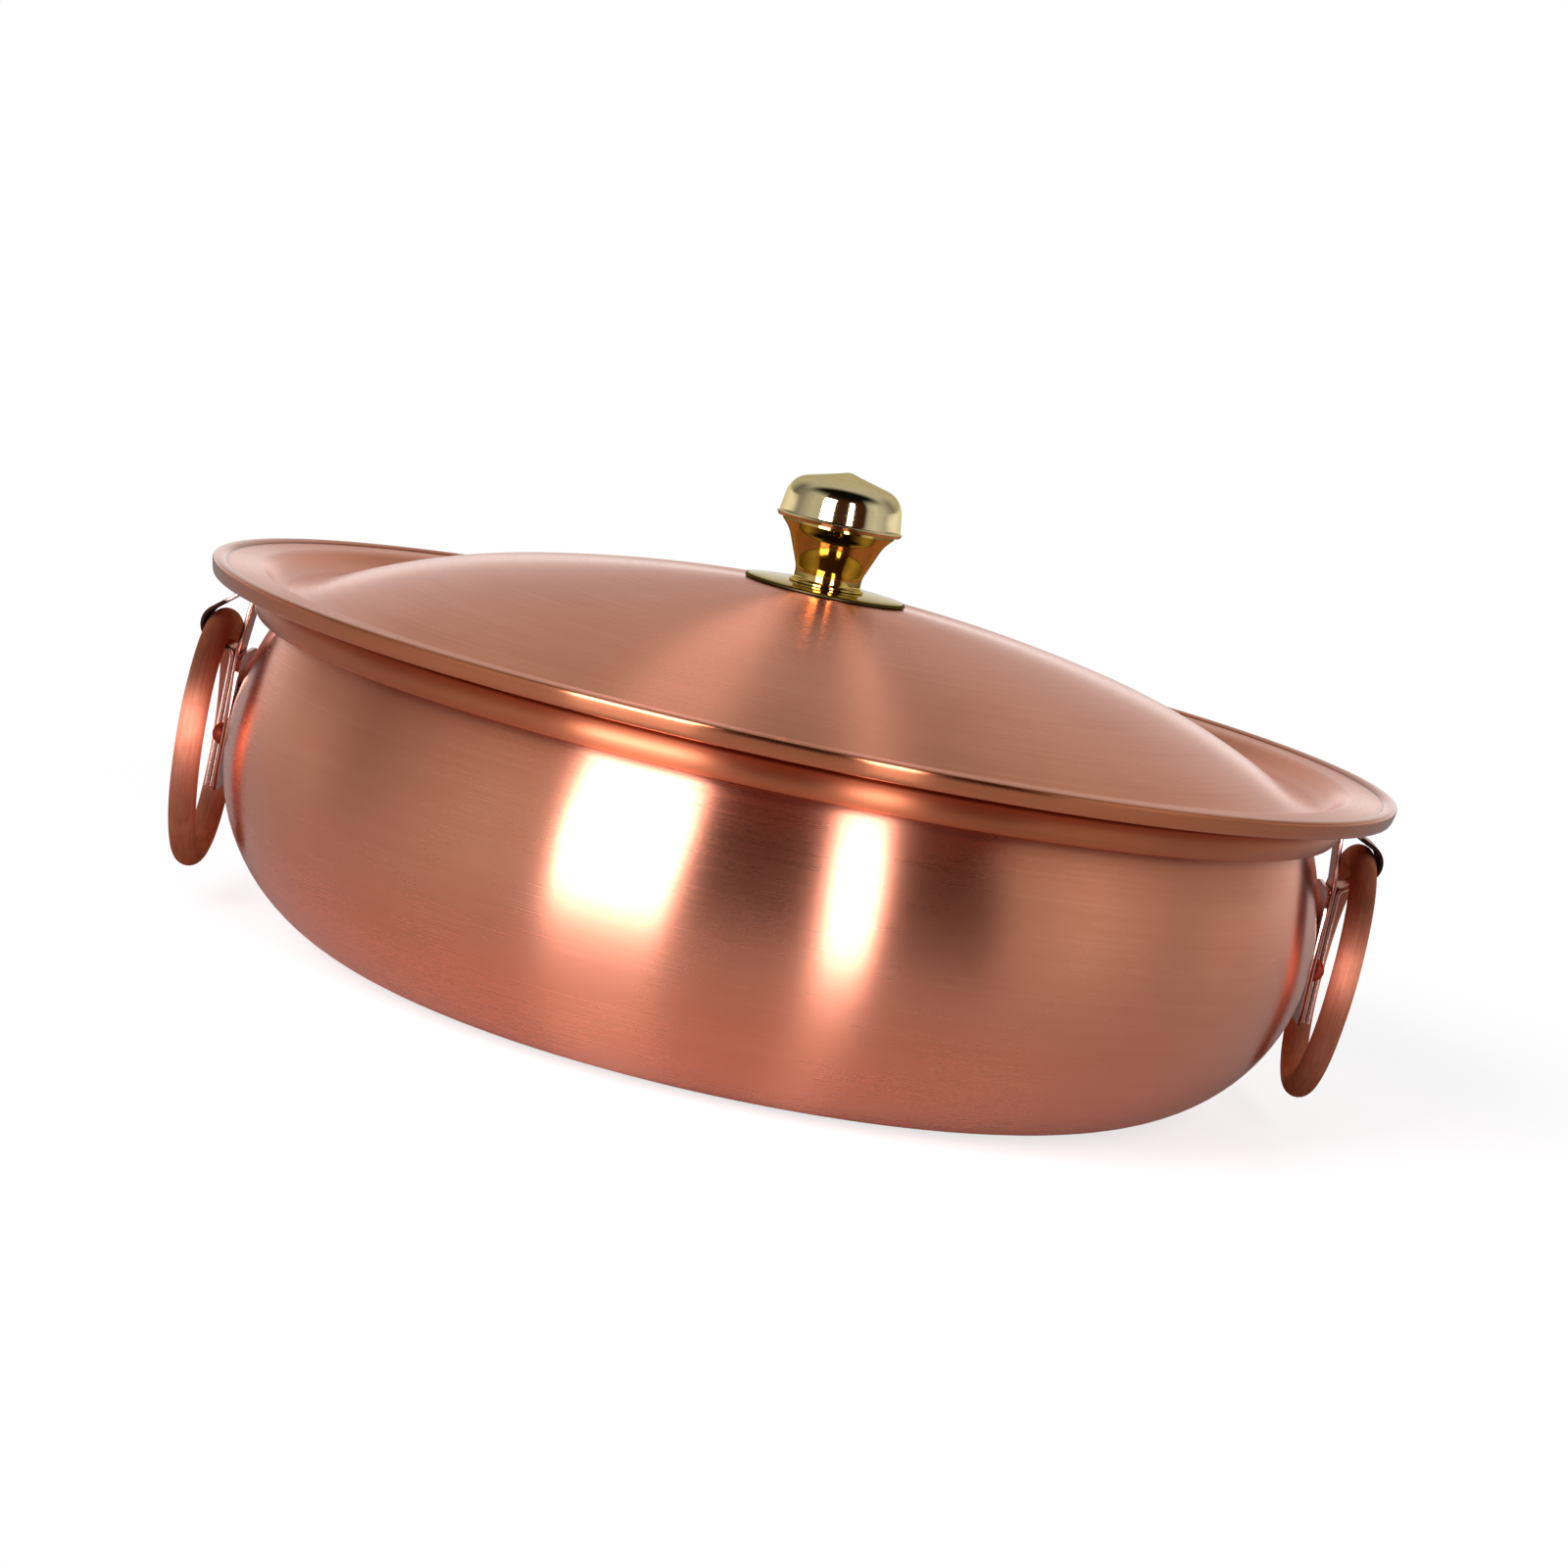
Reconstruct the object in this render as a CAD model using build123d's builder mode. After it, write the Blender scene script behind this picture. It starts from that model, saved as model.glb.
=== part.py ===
from build123d import *
from math import asin, atan2, cos, degrees, radians, sin, sqrt
import os

# A covered copper pot. It stands on the plane z = 0 with its axis on Z, and its handles lie on the X axis.
# Sections are drawn in the plane of X and Z, as distance from the axis and height above the base.

# Pot
belly_radius = 138.1            # widest line of the belly
belly_corner_radius = 46.5      # from the flat base round to the widest line
rim_height = 84.2               # top of the rolled rim
rim_inset = 0.5                 # the rim is this much narrower than the belly
neck_bend_radius = 2            # hollow bend below the throat
throat_run = 2.16               # straight stretch from the neck to the rolled rim
throat_lean = 15                # degrees that the throat opens outwards
rim_curl = 285                  # degrees that the sheet goes round its wire
pot_sheet = 1.0
lining_sheet = 0.6
lining_drop = 1.2               # the lining ends this far below the rolled rim
rim_wire_radius = 2.55

# Lid
lid_sheet = 0.9
brim_overhang = 12.4            # the lid is this much wider than the rim
seat_gap = 0.25                 # between the lid's gutter and the rim
gutter_inset = 3.3              # the gutter's lowest line lies this far inside the rolled rim's centre
gutter_bend_radius = 6
gutter_wall_slope = 47          # degrees
brim_rise = 4.56                # brim above the gutter
brim_bend_radius = 3.2
dome_foot_radius = 19.5         # hollow bend between gutter and dome
dome_foot_slope = 27.5          # degrees, the steepest place of the dome
dome_shoulder_radius = 170
dome_crown_angle = 12.3         # degrees of slope at the crown's edge
hem_wire_radius = 1.1
hem_step = 0.7                  # the hem stands this far above the brim
hem_curl = 292                  # degrees that the sheet goes round its wire

# Knob, from the lid upwards
rose_radius = 19.8
rose_sheet = 1.0
rose_edge_share = 0.4           # of the rose's sheet that its upper edge is rounded by
neck_foot_radius = 9.4
neck_foot_height = 0.4
neck_foot_fillet = 0.9
stem_radius = 8.4
stem_run = 0.9
stem_bend_radius = 6
stem_lean = 22                  # degrees
stem_cone_run = 6.85
flare_bend_radius = 8
flare_lean = 42                 # degrees
flange_height = 2
flange_margin = 0.5             # the flange is this much wider than the cap's inside under its top
flange_reveal = 0.66            # the cap's lip starts this far above the flare's edge
cap_height = 13.4
cap_radius = 14.65              # where the rounded top meets the side
cap_sheet = 1.0
cap_side_lean = 8               # degrees
cap_top_slope = 14              # degrees
cap_point_slope = 20            # degrees
cap_point_radius = 4
cap_ogee_radius = 12
cap_edge_radius = 6
lip_bend_radius = 1.0
lip_slope = 32                  # degrees
lip_run = 0.3

# Screw that holds the knob
screw_radius = 2.5
screw_length = 9
screw_head_radius = 4.75
screw_head_height = 2.4
screw_head_round = 1.0
screw_slot_width = 1.2
screw_slot_depth = 1.1
thread_depth = 11
washer_radius = 7.5
washer_sheet = 1.0

# Ring handles
ring_rod_radius = 3.4
ring_radius = 29.5              # to the middle of the rod
ring_clearance = 0.29
ring_lean = 3                   # degrees that a hanging ring leans towards the belly
eye_drop = {"left": 13.3, "right": 11.0}    # eyes below the top of the rim; the two differ by hand work
strap_width = 12
strap_sheet = 1.1
strap_foot_height = 30.6
strap_bend_drop = 19.2          # below the top of the rim, where the inner layer leans in
strap_bend_radius = 10
strap_slit = 0.15               # between the folded strap's two layers
strap_top_inset = 0.1           # middle of the upper fold, inside the middle of the folded layers
strap_top_drop = 5.6            # middle of the upper fold, below the top of the rim
strap_top_radius = 1.2
return_bend_radius = 1.8
return_drop = 20.7              # middle of the lower bend, below the top of the rim
plate_width = 32
plate_sheet = 1.1
plate_corner_radius = 6

# Rivets
rivet_drop = 1.3                # below the belly's widest line
rivet_spacing = 24
rivet_radius = 2.0
rivet_head_radius = 2.8
rivet_head_height = 2.5
tail_height = 1.2
burr_radius = 4
burr_sheet = 1.0

# Clearance of pieces that are brazed, riveted or screwed together, and of a wire in its rolled edge
fit = 0.05
wire_fit = 0.2


def run(length):
    """A straight stretch of a path."""
    return length, 0


def bend(radius, turn):
    """An arc of a path: positive degrees turn left."""
    return radius, turn


def toward(heading):
    """Unit vector of a heading in degrees, from the first axis towards the second."""
    return Vector(cos(radians(heading)), sin(radians(heading)))


def reach(heading, steps):
    """How far a path of runs and bends gets along both axes."""
    total = Vector(0, 0)
    for size, turn in steps:
        if turn == 0:
            total += toward(heading) * size
        else:
            side = 90 if turn > 0 else -90
            total += (toward(heading + side) - toward(heading + side + turn)) * size
        heading += turn
    return total


def draw_face(start, heading, steps, offset=0):
    """Draw a path, or its parallel at an offset to the left, and return its two ends."""
    first = Vector(*start) + toward(heading + 90) * offset
    point = first
    for size, turn in steps:
        if turn == 0:
            edge = Line(point, point + toward(heading) * size)
        else:
            edge = JernArc(point, toward(heading), size - offset * (1 if turn > 0 else -1), turn)
        point = edge @ 1
        heading += turn
    return first, point


def draw_sheet(start, heading, steps, near, far):
    """Draw the closed section of a bent sheet that lies between two offsets of a path."""
    near_start, near_end = draw_face(start, heading, steps, near)
    far_start, far_end = draw_face(start, heading, steps, far)
    Line(near_start, far_start)
    Line(near_end, far_end)


def tangent_run(centre_1, radius_1, centre_2, radius_2):
    """Heading and length of the run between two bends; the radius of a right bend is negative."""
    gap = Vector(*centre_2) - Vector(*centre_1)
    shift = radius_2 - radius_1
    heading = degrees(atan2(gap.Y, gap.X) - asin(shift / gap.length))
    return heading, sqrt(gap.length**2 - shift**2)


# Pot wall: flat base, corner, shoulder, neck, throat and rolled rim, as the path of the outer face.
# The shoulder's arc starts upright at the widest line and touches the neck bend.
rim_wire_seat = rim_wire_radius + wire_fit
rim_bead_radius = rim_wire_seat + pot_sheet
rim_centre = Vector(belly_radius - rim_inset - rim_bead_radius, rim_height - rim_bead_radius)
throat_foot = rim_centre + toward(180 - throat_lean) * rim_wire_seat - toward(90 - throat_lean) * throat_run
neck_centre = throat_foot + toward(-throat_lean) * neck_bend_radius
neck_gap = neck_centre - Vector(belly_radius, belly_corner_radius)
shoulder_radius = (neck_gap.length**2 - neck_bend_radius**2) / (2 * (neck_bend_radius - neck_gap.X))
shoulder_turn = degrees(atan2(neck_gap.Y, neck_gap.X + shoulder_radius))
belly_steps = [
    run(belly_radius - belly_corner_radius),
    bend(belly_corner_radius, 90),
    bend(shoulder_radius, shoulder_turn),
    bend(neck_bend_radius, -shoulder_turn - throat_lean),
]
wall_steps = belly_steps + [run(throat_run), bend(rim_wire_seat, -rim_curl)]
lining_steps = belly_steps + [run(throat_run - lining_drop)]
lining_outside = pot_sheet + fit
lining_inside = lining_outside + lining_sheet

# Bracket places, outwards from the belly
plate_back = belly_radius + fit
plate_front = plate_back + plate_sheet
strap_back = plate_front + fit
strap_front = strap_back + 2 * strap_sheet + strap_slit
strap_bend_height = rim_height - strap_bend_drop
eye_reach = strap_front + ring_rod_radius + ring_clearance
rod_drop = ring_radius - sqrt(ring_radius**2 - (strap_width / 2) ** 2)
ring_drop = ring_radius - rod_drop / 2
eye_radius = ring_rod_radius + rod_drop / 2 + ring_clearance

# Rivet directions round the axis, two to a side
rivet_height = belly_corner_radius - rivet_drop
rivet_swing = degrees(asin(rivet_spacing / 2 / belly_radius))
side_bearings = {"left": 180, "right": 0}


def rivet_planes(sides):
    """Planes with their normal along each rivet, outwards, and their origin on the pot's axis."""
    bearings = [side_bearings[side] + swing for side in sides for swing in (-rivet_swing, rivet_swing)]
    return [
        Plane(origin=(0, 0, rivet_height), x_dir=(0, 0, 1), z_dir=tuple(toward(bearing)))
        for bearing in bearings
    ]


def drill_rivet_holes(sides):
    """Cut the rivet holes into the piece that is being made."""
    for plane in rivet_planes(sides):
        with BuildSketch(plane) as hole:
            Circle(rivet_radius + fit)
        extrude(hole.sketch, amount=plate_front + rivet_head_height, mode=Mode.SUBTRACT)


with BuildPart() as pot_shell:
    with BuildSketch(Plane.XZ):
        with BuildLine():
            draw_sheet((0, 0), 0, wall_steps, 0, pot_sheet)
        make_face()
    revolve(axis=Axis.Z)
    drill_rivet_holes(side_bearings)

with BuildPart() as pot_liner:
    with BuildSketch(Plane.XZ):
        with BuildLine():
            draw_sheet((0, 0), 0, lining_steps, lining_outside, lining_inside)
        make_face()
    revolve(axis=Axis.Z)
    drill_rivet_holes(side_bearings)

with BuildPart(Plane.XY.offset(rim_centre.Y)) as rim_wire:
    Torus(rim_centre.X, rim_wire_radius)

# Lid: crown, shoulder, foot, gutter, brim and rolled hem, as the path of the upper face
seat_reach = gutter_bend_radius + lid_sheet + rim_bead_radius + seat_gap
gutter_radius = rim_centre.X - gutter_inset
gutter_height = rim_centre.Y + sqrt(seat_reach**2 - gutter_inset**2) - gutter_bend_radius
brim_height = gutter_height + brim_rise
shoulder_slope = dome_foot_slope - dome_crown_angle
outer_dome_steps = [
    bend(dome_shoulder_radius, -shoulder_slope),
    bend(dome_foot_radius, dome_foot_slope),
]
crown_edge = gutter_radius - reach(-dome_crown_angle, outer_dome_steps).X
crown_radius = crown_edge / sin(radians(dome_crown_angle))
dome_steps = [bend(crown_radius, -dome_crown_angle)] + outer_dome_steps
lid_top = gutter_height - reach(0, dome_steps).Y
gutter_bends = [bend(gutter_bend_radius, gutter_wall_slope), bend(brim_bend_radius, -gutter_wall_slope)]
wall_run = (brim_rise - reach(0, gutter_bends).Y) / sin(radians(gutter_wall_slope))
lid_steps = dome_steps + [gutter_bends[0], run(wall_run), gutter_bends[1]]

hem_wire_seat = hem_wire_radius + wire_fit
hem_bead_radius = hem_wire_seat + lid_sheet
lid_radius = belly_radius - rim_inset + brim_overhang
hem_centre = Vector(lid_radius - hem_bead_radius, brim_height + hem_step - hem_bead_radius)
hem_top_angle = 180 - degrees(asin((brim_height - hem_centre.Y) / hem_bead_radius))
hem_under_angle = 180 - degrees(asin((brim_height - lid_sheet - hem_centre.Y) / hem_wire_seat))
hem_end_angle = hem_top_angle - hem_curl

with BuildPart() as lid_shell:
    with BuildSketch(Plane.XZ):
        with BuildLine():
            _, brim_top = draw_face((0, lid_top), 0, lid_steps)
            _, brim_under = draw_face((0, lid_top), 0, lid_steps, -lid_sheet)
            Line((0, lid_top), (0, lid_top - lid_sheet))
            Line(brim_top, hem_centre + toward(hem_top_angle) * hem_bead_radius)
            CenterArc(hem_centre, hem_bead_radius, hem_top_angle, -hem_curl)
            Line(
                hem_centre + toward(hem_end_angle) * hem_bead_radius,
                hem_centre + toward(hem_end_angle) * hem_wire_seat,
            )
            CenterArc(hem_centre, hem_wire_seat, hem_end_angle, hem_under_angle - hem_end_angle)
            Line(hem_centre + toward(hem_under_angle) * hem_wire_seat, brim_under)
        make_face()
    revolve(axis=Axis.Z)
    with BuildSketch(Plane.XY.offset(lid_top + lid_sheet)):
        Circle(screw_radius + fit)
    extrude(amount=-3 * lid_sheet, mode=Mode.SUBTRACT)

with BuildPart(Plane.XY.offset(hem_centre.Y)) as lid_hem_wire:
    Torus(hem_centre.X, hem_wire_radius)

# Knob heights, upwards from the lid
rose_steps = [bend(crown_radius, -degrees(asin(rose_radius / crown_radius)))]
neck_base = lid_top + rose_sheet + 2 * fit
cap_inner_radius = cap_radius - cap_sheet
stem_steps = [
    run(neck_foot_radius - stem_radius - neck_foot_fillet),
    bend(neck_foot_fillet, -90),
    run(stem_run),
    bend(stem_bend_radius, -stem_lean),
    run(stem_cone_run),
    bend(flare_bend_radius, stem_lean - flare_lean),
]
flange_radius = cap_inner_radius + flange_margin
stem_reach = reach(180, stem_steps)
flare_run = (flange_radius - neck_foot_radius - stem_reach.X) / sin(radians(flare_lean))
stem_steps.append(run(flare_run))
flange_base = neck_base + neck_foot_height + reach(180, stem_steps).Y
cap_base = flange_base + flange_reveal
cap_top = cap_base + cap_height

with BuildPart() as knob_rose:
    with BuildSketch(Plane.XZ) as rose_section:
        with BuildLine():
            draw_sheet((0, lid_top), 0, rose_steps, fit, fit + rose_sheet)
        make_face()
        fillet(rose_section.vertices().sort_by(Axis.X)[-1], radius=rose_sheet * rose_edge_share)
    revolve(axis=Axis.Z)
    with BuildSketch(Plane.XY.offset(lid_top - rose_sheet)):
        Circle(screw_radius + fit)
    extrude(amount=3 * rose_sheet, mode=Mode.SUBTRACT)

with BuildPart() as knob_neck:
    with BuildSketch(Plane.XZ):
        with BuildLine():
            ledge = (neck_foot_radius, neck_base + neck_foot_height)
            _, flare_edge = draw_face(ledge, 180, stem_steps)
            Polyline(ledge, (neck_foot_radius, neck_base), (0, neck_base))
            Polyline(
                (0, neck_base),
                (0, flange_base + flange_height),
                (flange_radius, flange_base + flange_height),
                flare_edge,
            )
        make_face()
    revolve(axis=Axis.Z)
    with BuildSketch(Plane.XY.offset(neck_base)):
        Circle(screw_radius + fit)
    extrude(amount=thread_depth, mode=Mode.SUBTRACT)

# Knob cap: low point, sloping top, rounded edge, flaring side and lip, as the path of the outer face
point_steps = [
    bend(cap_point_radius, -cap_point_slope),
    bend(cap_ogee_radius, cap_point_slope - cap_top_slope),
]
edge_step = bend(cap_edge_radius, cap_top_slope + cap_side_lean - 90)
lip_steps = [bend(lip_bend_radius, 90 - cap_side_lean - lip_slope), run(lip_run)]
rounded_reach = reach(0, point_steps + [edge_step])
cap_slope_run = (cap_radius - rounded_reach.X) / cos(radians(cap_top_slope))
cap_top_steps = point_steps + [run(cap_slope_run), edge_step]
lip_drop = reach(cap_side_lean - 90, lip_steps).Y - cap_sheet * cos(radians(lip_slope))
cap_side_run = (cap_height + reach(0, cap_top_steps).Y + lip_drop) / cos(radians(cap_side_lean))
cap_steps = cap_top_steps + [run(cap_side_run)] + lip_steps

with BuildPart() as knob_head:
    with BuildSketch(Plane.XZ):
        with BuildLine():
            draw_sheet((0, cap_top), 0, cap_steps, 0, -cap_sheet)
        make_face()
    revolve(axis=Axis.Z)

# Washer and screw inside the lid
washer_sag = crown_radius - sqrt(crown_radius**2 - washer_radius**2)
washer_top = lid_top - lid_sheet - washer_sag - fit
screw_seat = washer_top - washer_sheet - fit
screw_foot = screw_seat - screw_head_height

with BuildPart() as lid_washer:
    with BuildSketch(Plane.XY.offset(washer_top)):
        Circle(washer_radius)
        Circle(screw_radius + fit, mode=Mode.SUBTRACT)
    extrude(amount=-washer_sheet)

with BuildPart() as knob_screw:
    with BuildSketch(Plane.XY.offset(screw_foot)):
        Circle(screw_head_radius)
    extrude(amount=screw_head_height)
    fillet(knob_screw.edges().sort_by(Axis.Z)[0], radius=screw_head_round)
    with BuildSketch(Plane.XY.offset(screw_seat)):
        Circle(screw_radius)
    extrude(amount=neck_base - screw_seat + screw_length)
    with BuildSketch(Plane.XY.offset(screw_foot)):
        Rectangle(2 * screw_head_radius, screw_slot_width)
    extrude(amount=screw_slot_depth, mode=Mode.SUBTRACT)

pieces = {
    "pot_shell": pot_shell,
    "pot_liner": pot_liner,
    "rim_wire": rim_wire,
    "lid_shell": lid_shell,
    "lid_hem_wire": lid_hem_wire,
    "knob_rose": knob_rose,
    "knob_neck": knob_neck,
    "knob_head": knob_head,
    "lid_washer": lid_washer,
    "knob_screw": knob_screw,
}

# Brackets, rings and rivets of both sides
lining_corner_radius = belly_corner_radius - lining_inside
burr_sag = lining_corner_radius - sqrt(lining_corner_radius**2 - (burr_radius + rivet_drop) ** 2)
burr_front = belly_radius - lining_inside - burr_sag - fit
burr_back = burr_front - burr_sheet
tail_base = burr_back - fit

for side, bearing in side_bearings.items():
    outward = toward(bearing)
    side_plane = Plane(origin=(0, 0, 0), x_dir=tuple(outward), z_dir=(0, -outward.X, 0))
    eye_centre = (eye_reach, rim_height - eye_drop[side])
    fold_centre = ((strap_back + strap_front) / 2 - strap_top_inset, rim_height - strap_top_drop)
    lower_centre = (strap_back - strap_bend_radius, strap_bend_height)
    return_centre = (strap_front + return_bend_radius, rim_height - return_drop)
    fold_outside = strap_top_radius + strap_sheet
    eye_outside = eye_radius + strap_sheet
    rise, rise_run = tangent_run(lower_centre, strap_bend_radius, fold_centre, -fold_outside)
    fall, fall_run = tangent_run(fold_centre, -fold_outside, eye_centre, -eye_outside)
    back, back_run = tangent_run(eye_centre, -eye_outside, return_centre, return_bend_radius)
    back -= 360 if back > fall else 0
    strap_steps = [
        run(strap_bend_height - strap_foot_height),
        bend(strap_bend_radius, rise - 90),
        run(rise_run),
        bend(fold_outside, fall - rise),
        run(fall_run),
        bend(eye_outside, back - fall),
        run(back_run),
        bend(return_bend_radius, -90 - back),
        run(rim_height - return_drop - strap_foot_height),
    ]
    with BuildPart() as ring_strap:
        with BuildSketch(side_plane):
            with BuildLine():
                draw_sheet((strap_back, strap_foot_height), 90, strap_steps, 0, -strap_sheet)
            make_face()
        extrude(amount=strap_width / 2, both=True)

    plate_height = strap_bend_height - strap_foot_height
    plate_middle = (strap_bend_height + strap_foot_height) / 2
    face_plane = Plane(origin=(0, 0, plate_middle), x_dir=(0, 1, 0), z_dir=tuple(outward))
    with BuildPart() as bracket_plate:
        with BuildSketch(Plane.XY.offset(strap_foot_height)):
            Circle(plate_front)
            Circle(plate_back, mode=Mode.SUBTRACT)
        extrude(amount=plate_height)
        with BuildSketch(face_plane):
            RectangleRounded(plate_width, plate_height, plate_corner_radius)
        extrude(amount=plate_front + plate_sheet, mode=Mode.INTERSECT)
        drill_rivet_holes([side])

    ring_middle = Vector(*eye_centre) + toward(-90 - ring_lean) * ring_drop
    ring_normal = toward(-ring_lean)
    ring_plane = Plane(
        origin=(outward.X * ring_middle.X, 0, ring_middle.Y),
        z_dir=(outward.X * ring_normal.X, 0, ring_normal.Y),
    )
    with BuildPart(ring_plane) as ring:
        Torus(ring_radius, ring_rod_radius)

    with BuildPart() as rivets:
        for plane in rivet_planes([side]):
            section_plane = Plane(origin=plane.origin, x_dir=plane.z_dir, z_dir=plane.y_dir)
            with BuildSketch(section_plane):
                with BuildLine():
                    Polyline(
                        (plate_front + rivet_head_height, 0),
                        (tail_base - tail_height, 0),
                    )
                    TangentArc(
                        (tail_base - tail_height, 0),
                        (tail_base, rivet_head_radius),
                        tangent=(0, 1),
                    )
                    Polyline(
                        (tail_base, rivet_head_radius),
                        (tail_base, rivet_radius),
                        (plate_front + fit, rivet_radius),
                        (plate_front + fit, rivet_head_radius),
                    )
                    TangentArc(
                        (plate_front + rivet_head_height, 0),
                        (plate_front + fit, rivet_head_radius),
                        tangent=(0, 1),
                    )
                make_face()
            revolve(axis=Axis(plane.origin, plane.z_dir))

    with BuildPart() as rivet_burrs:
        for plane in rivet_planes([side]):
            with BuildSketch(plane.offset(burr_back)):
                Circle(burr_radius)
                Circle(rivet_radius + fit, mode=Mode.SUBTRACT)
            extrude(amount=burr_sheet)

    pieces[f"{side}_ring_strap"] = ring_strap
    pieces[f"{side}_bracket_plate"] = bracket_plate
    pieces[f"{side}_ring"] = ring
    pieces[f"{side}_rivets"] = rivets
    pieces[f"{side}_rivet_burrs"] = rivet_burrs

os.makedirs("parts", exist_ok=True)
for name, piece in pieces.items():
    piece.part.label = name
    export_step(piece.part, f"parts/{name}.step")
print("eye reach", round(eye_reach, 3), "lid top", round(lid_top, 2), "knob top", round(cap_top, 2))
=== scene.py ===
import bpy
import numpy as np
from mathutils import Matrix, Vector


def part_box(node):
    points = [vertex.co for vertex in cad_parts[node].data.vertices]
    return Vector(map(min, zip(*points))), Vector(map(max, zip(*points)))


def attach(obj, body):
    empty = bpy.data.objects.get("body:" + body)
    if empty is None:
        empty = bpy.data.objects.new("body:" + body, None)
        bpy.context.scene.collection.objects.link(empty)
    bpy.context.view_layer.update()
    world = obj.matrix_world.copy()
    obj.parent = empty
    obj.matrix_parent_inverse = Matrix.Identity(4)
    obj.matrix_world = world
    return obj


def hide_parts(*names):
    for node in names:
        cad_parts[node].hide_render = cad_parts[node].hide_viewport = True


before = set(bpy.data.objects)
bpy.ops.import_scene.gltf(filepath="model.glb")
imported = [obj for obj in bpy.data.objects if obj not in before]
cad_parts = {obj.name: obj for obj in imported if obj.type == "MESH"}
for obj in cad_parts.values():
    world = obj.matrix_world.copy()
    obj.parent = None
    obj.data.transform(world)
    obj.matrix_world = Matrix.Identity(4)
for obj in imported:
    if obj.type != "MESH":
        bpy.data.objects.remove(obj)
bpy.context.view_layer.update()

# The pot stands on z = 0 with its axis on Z, and its handles lie on the X axis.
# Sections are written in millimetres, as distance from the axis and height, and angles in degrees.
MM = 0.001
AROUND = 288                    # steps round the pot and the lid
shell_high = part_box("pot_shell")[1] / MM
lid_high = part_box("lid_shell")[1] / MM

# Pot
BELLY_RADIUS = shell_high.x
RIM_HEIGHT = shell_high.z
CORNER_RADIUS = 46.5
NECK_BEND_RADIUS = 2
THROAT_RUN = 2.16
THROAT_LEAN = 15
RIM_INSET = 0.5
RIM_CURL = 285
RIM_SEAT = 2.75                 # inner radius of the rolled rim
POT_SHEET = 1.0
LINING_SHEET = 0.6
LINING_DROP = 1.2
FIT = 0.05

# Lid
LID_RADIUS = lid_high.x
LID_TOP = lid_high.z
LID_SHEET = 0.9
GUTTER_INSET = 3.3
GUTTER_SEAT_GAP = 0.25
GUTTER_BEND_RADIUS = 6
GUTTER_WALL_SLOPE = 47
BRIM_RISE = 4.56
BRIM_BEND_RADIUS = 3.2
DOME_FOOT_RADIUS = 19.5
DOME_FOOT_SLOPE = 27.5
DOME_SHOULDER_RADIUS = 170
DOME_CROWN_ANGLE = 12.3
HEM_SEAT = 1.3                  # inner radius of the rolled hem
HEM_STEP = 0.7
HEM_CURL = 292
HEM_LEAN = 12                   # the pressed outer face of the hem leans in below
HEM_PRESS = 0.5                 # 1 keeps the hem round, less makes its outer half squarer
SCREW_HOLE_RADIUS = 2.55

# Knob
ROSE_RADIUS = 19.8
ROSE_SHEET = 1.0
NECK_FOOT_RADIUS = 9.4
NECK_FOOT_HEIGHT = 0.4
NECK_FOOT_FILLET = 0.9
STEM_RADIUS = 8.4
STEM_RUN = 0.9
STEM_BEND_RADIUS = 6
STEM_LEAN = 22
STEM_CONE_RUN = 6.85
FLARE_BEND_RADIUS = 8
FLARE_LEAN = 42
FLANGE_HEIGHT = 2
FLANGE_RADIUS = 14.15
CAP_HEIGHT = 13.4
CAP_RADIUS = 14.65
CAP_SHEET = 1.0
CAP_SIDE_LEAN = 8
CAP_TOP_SLOPE = 14
CAP_POINT_SLOPE = 20
CAP_POINT_RADIUS = 4
CAP_OGEE_RADIUS = 12
CAP_EDGE_RADIUS = 6
LIP_BEND_RADIUS = 1.0
LIP_SLOPE = 32
LIP_RUN = 0.3
THREAD_DEPTH = 11

# Handles
ROD_RADIUS = 3.4
RING_RADIUS = 29.5
RING_LEAN = 3
EYE_DROP = {"left": 13.3, "right": 11.0}
STRAP_WIDTH = 12
STRAP_SHEET = 1.1
STRAP_EDGE = 0.35               # rounding of the straps' and plates' edges
STRAP_FOOT = 30.6
STRAP_BEND_DROP = 19.2
STRAP_BEND_RADIUS = 10
STRAP_SLIT = 0.15
STRAP_TOP_INSET = 0.1
STRAP_TOP_DROP = 5.6
STRAP_TOP_RADIUS = 1.2
RETURN_BEND_RADIUS = 1.8
RETURN_DROP = 20.7
RING_CLEARANCE = 0.29
PLATE_WIDTH = 32
PLATE_SHEET = 1.1
PLATE_CORNER = 6
RIVET_DROP = 1.3
RIVET_SPACING = 24
RIVET_RADIUS = 2.0
RIVET_HEAD_RADIUS = 2.8
RIVET_HEAD_HEIGHT = 2.5
TAIL_HEIGHT = 1.2
BURR_RADIUS = 4
BURR_SHEET = 1.0
BURR_EDGE = 0.2
ROD_WAVES = [(0.010, 3, 1), (0.005, 8, 2)]  # share of the rod's radius, waves round the ring, shift by side
PLATE_FRONT_LOOPS = (15.9, 12, 9, 6, 3)     # how far the loops across the plate's faces are set in
PLATE_BACK_LOOPS = (0, 6, 12, 15.9)
LEAST_ROUNDING = 0.02                       # corner radius of the innermost loops
SIDES = {"left": -1, "right": 1}

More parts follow.
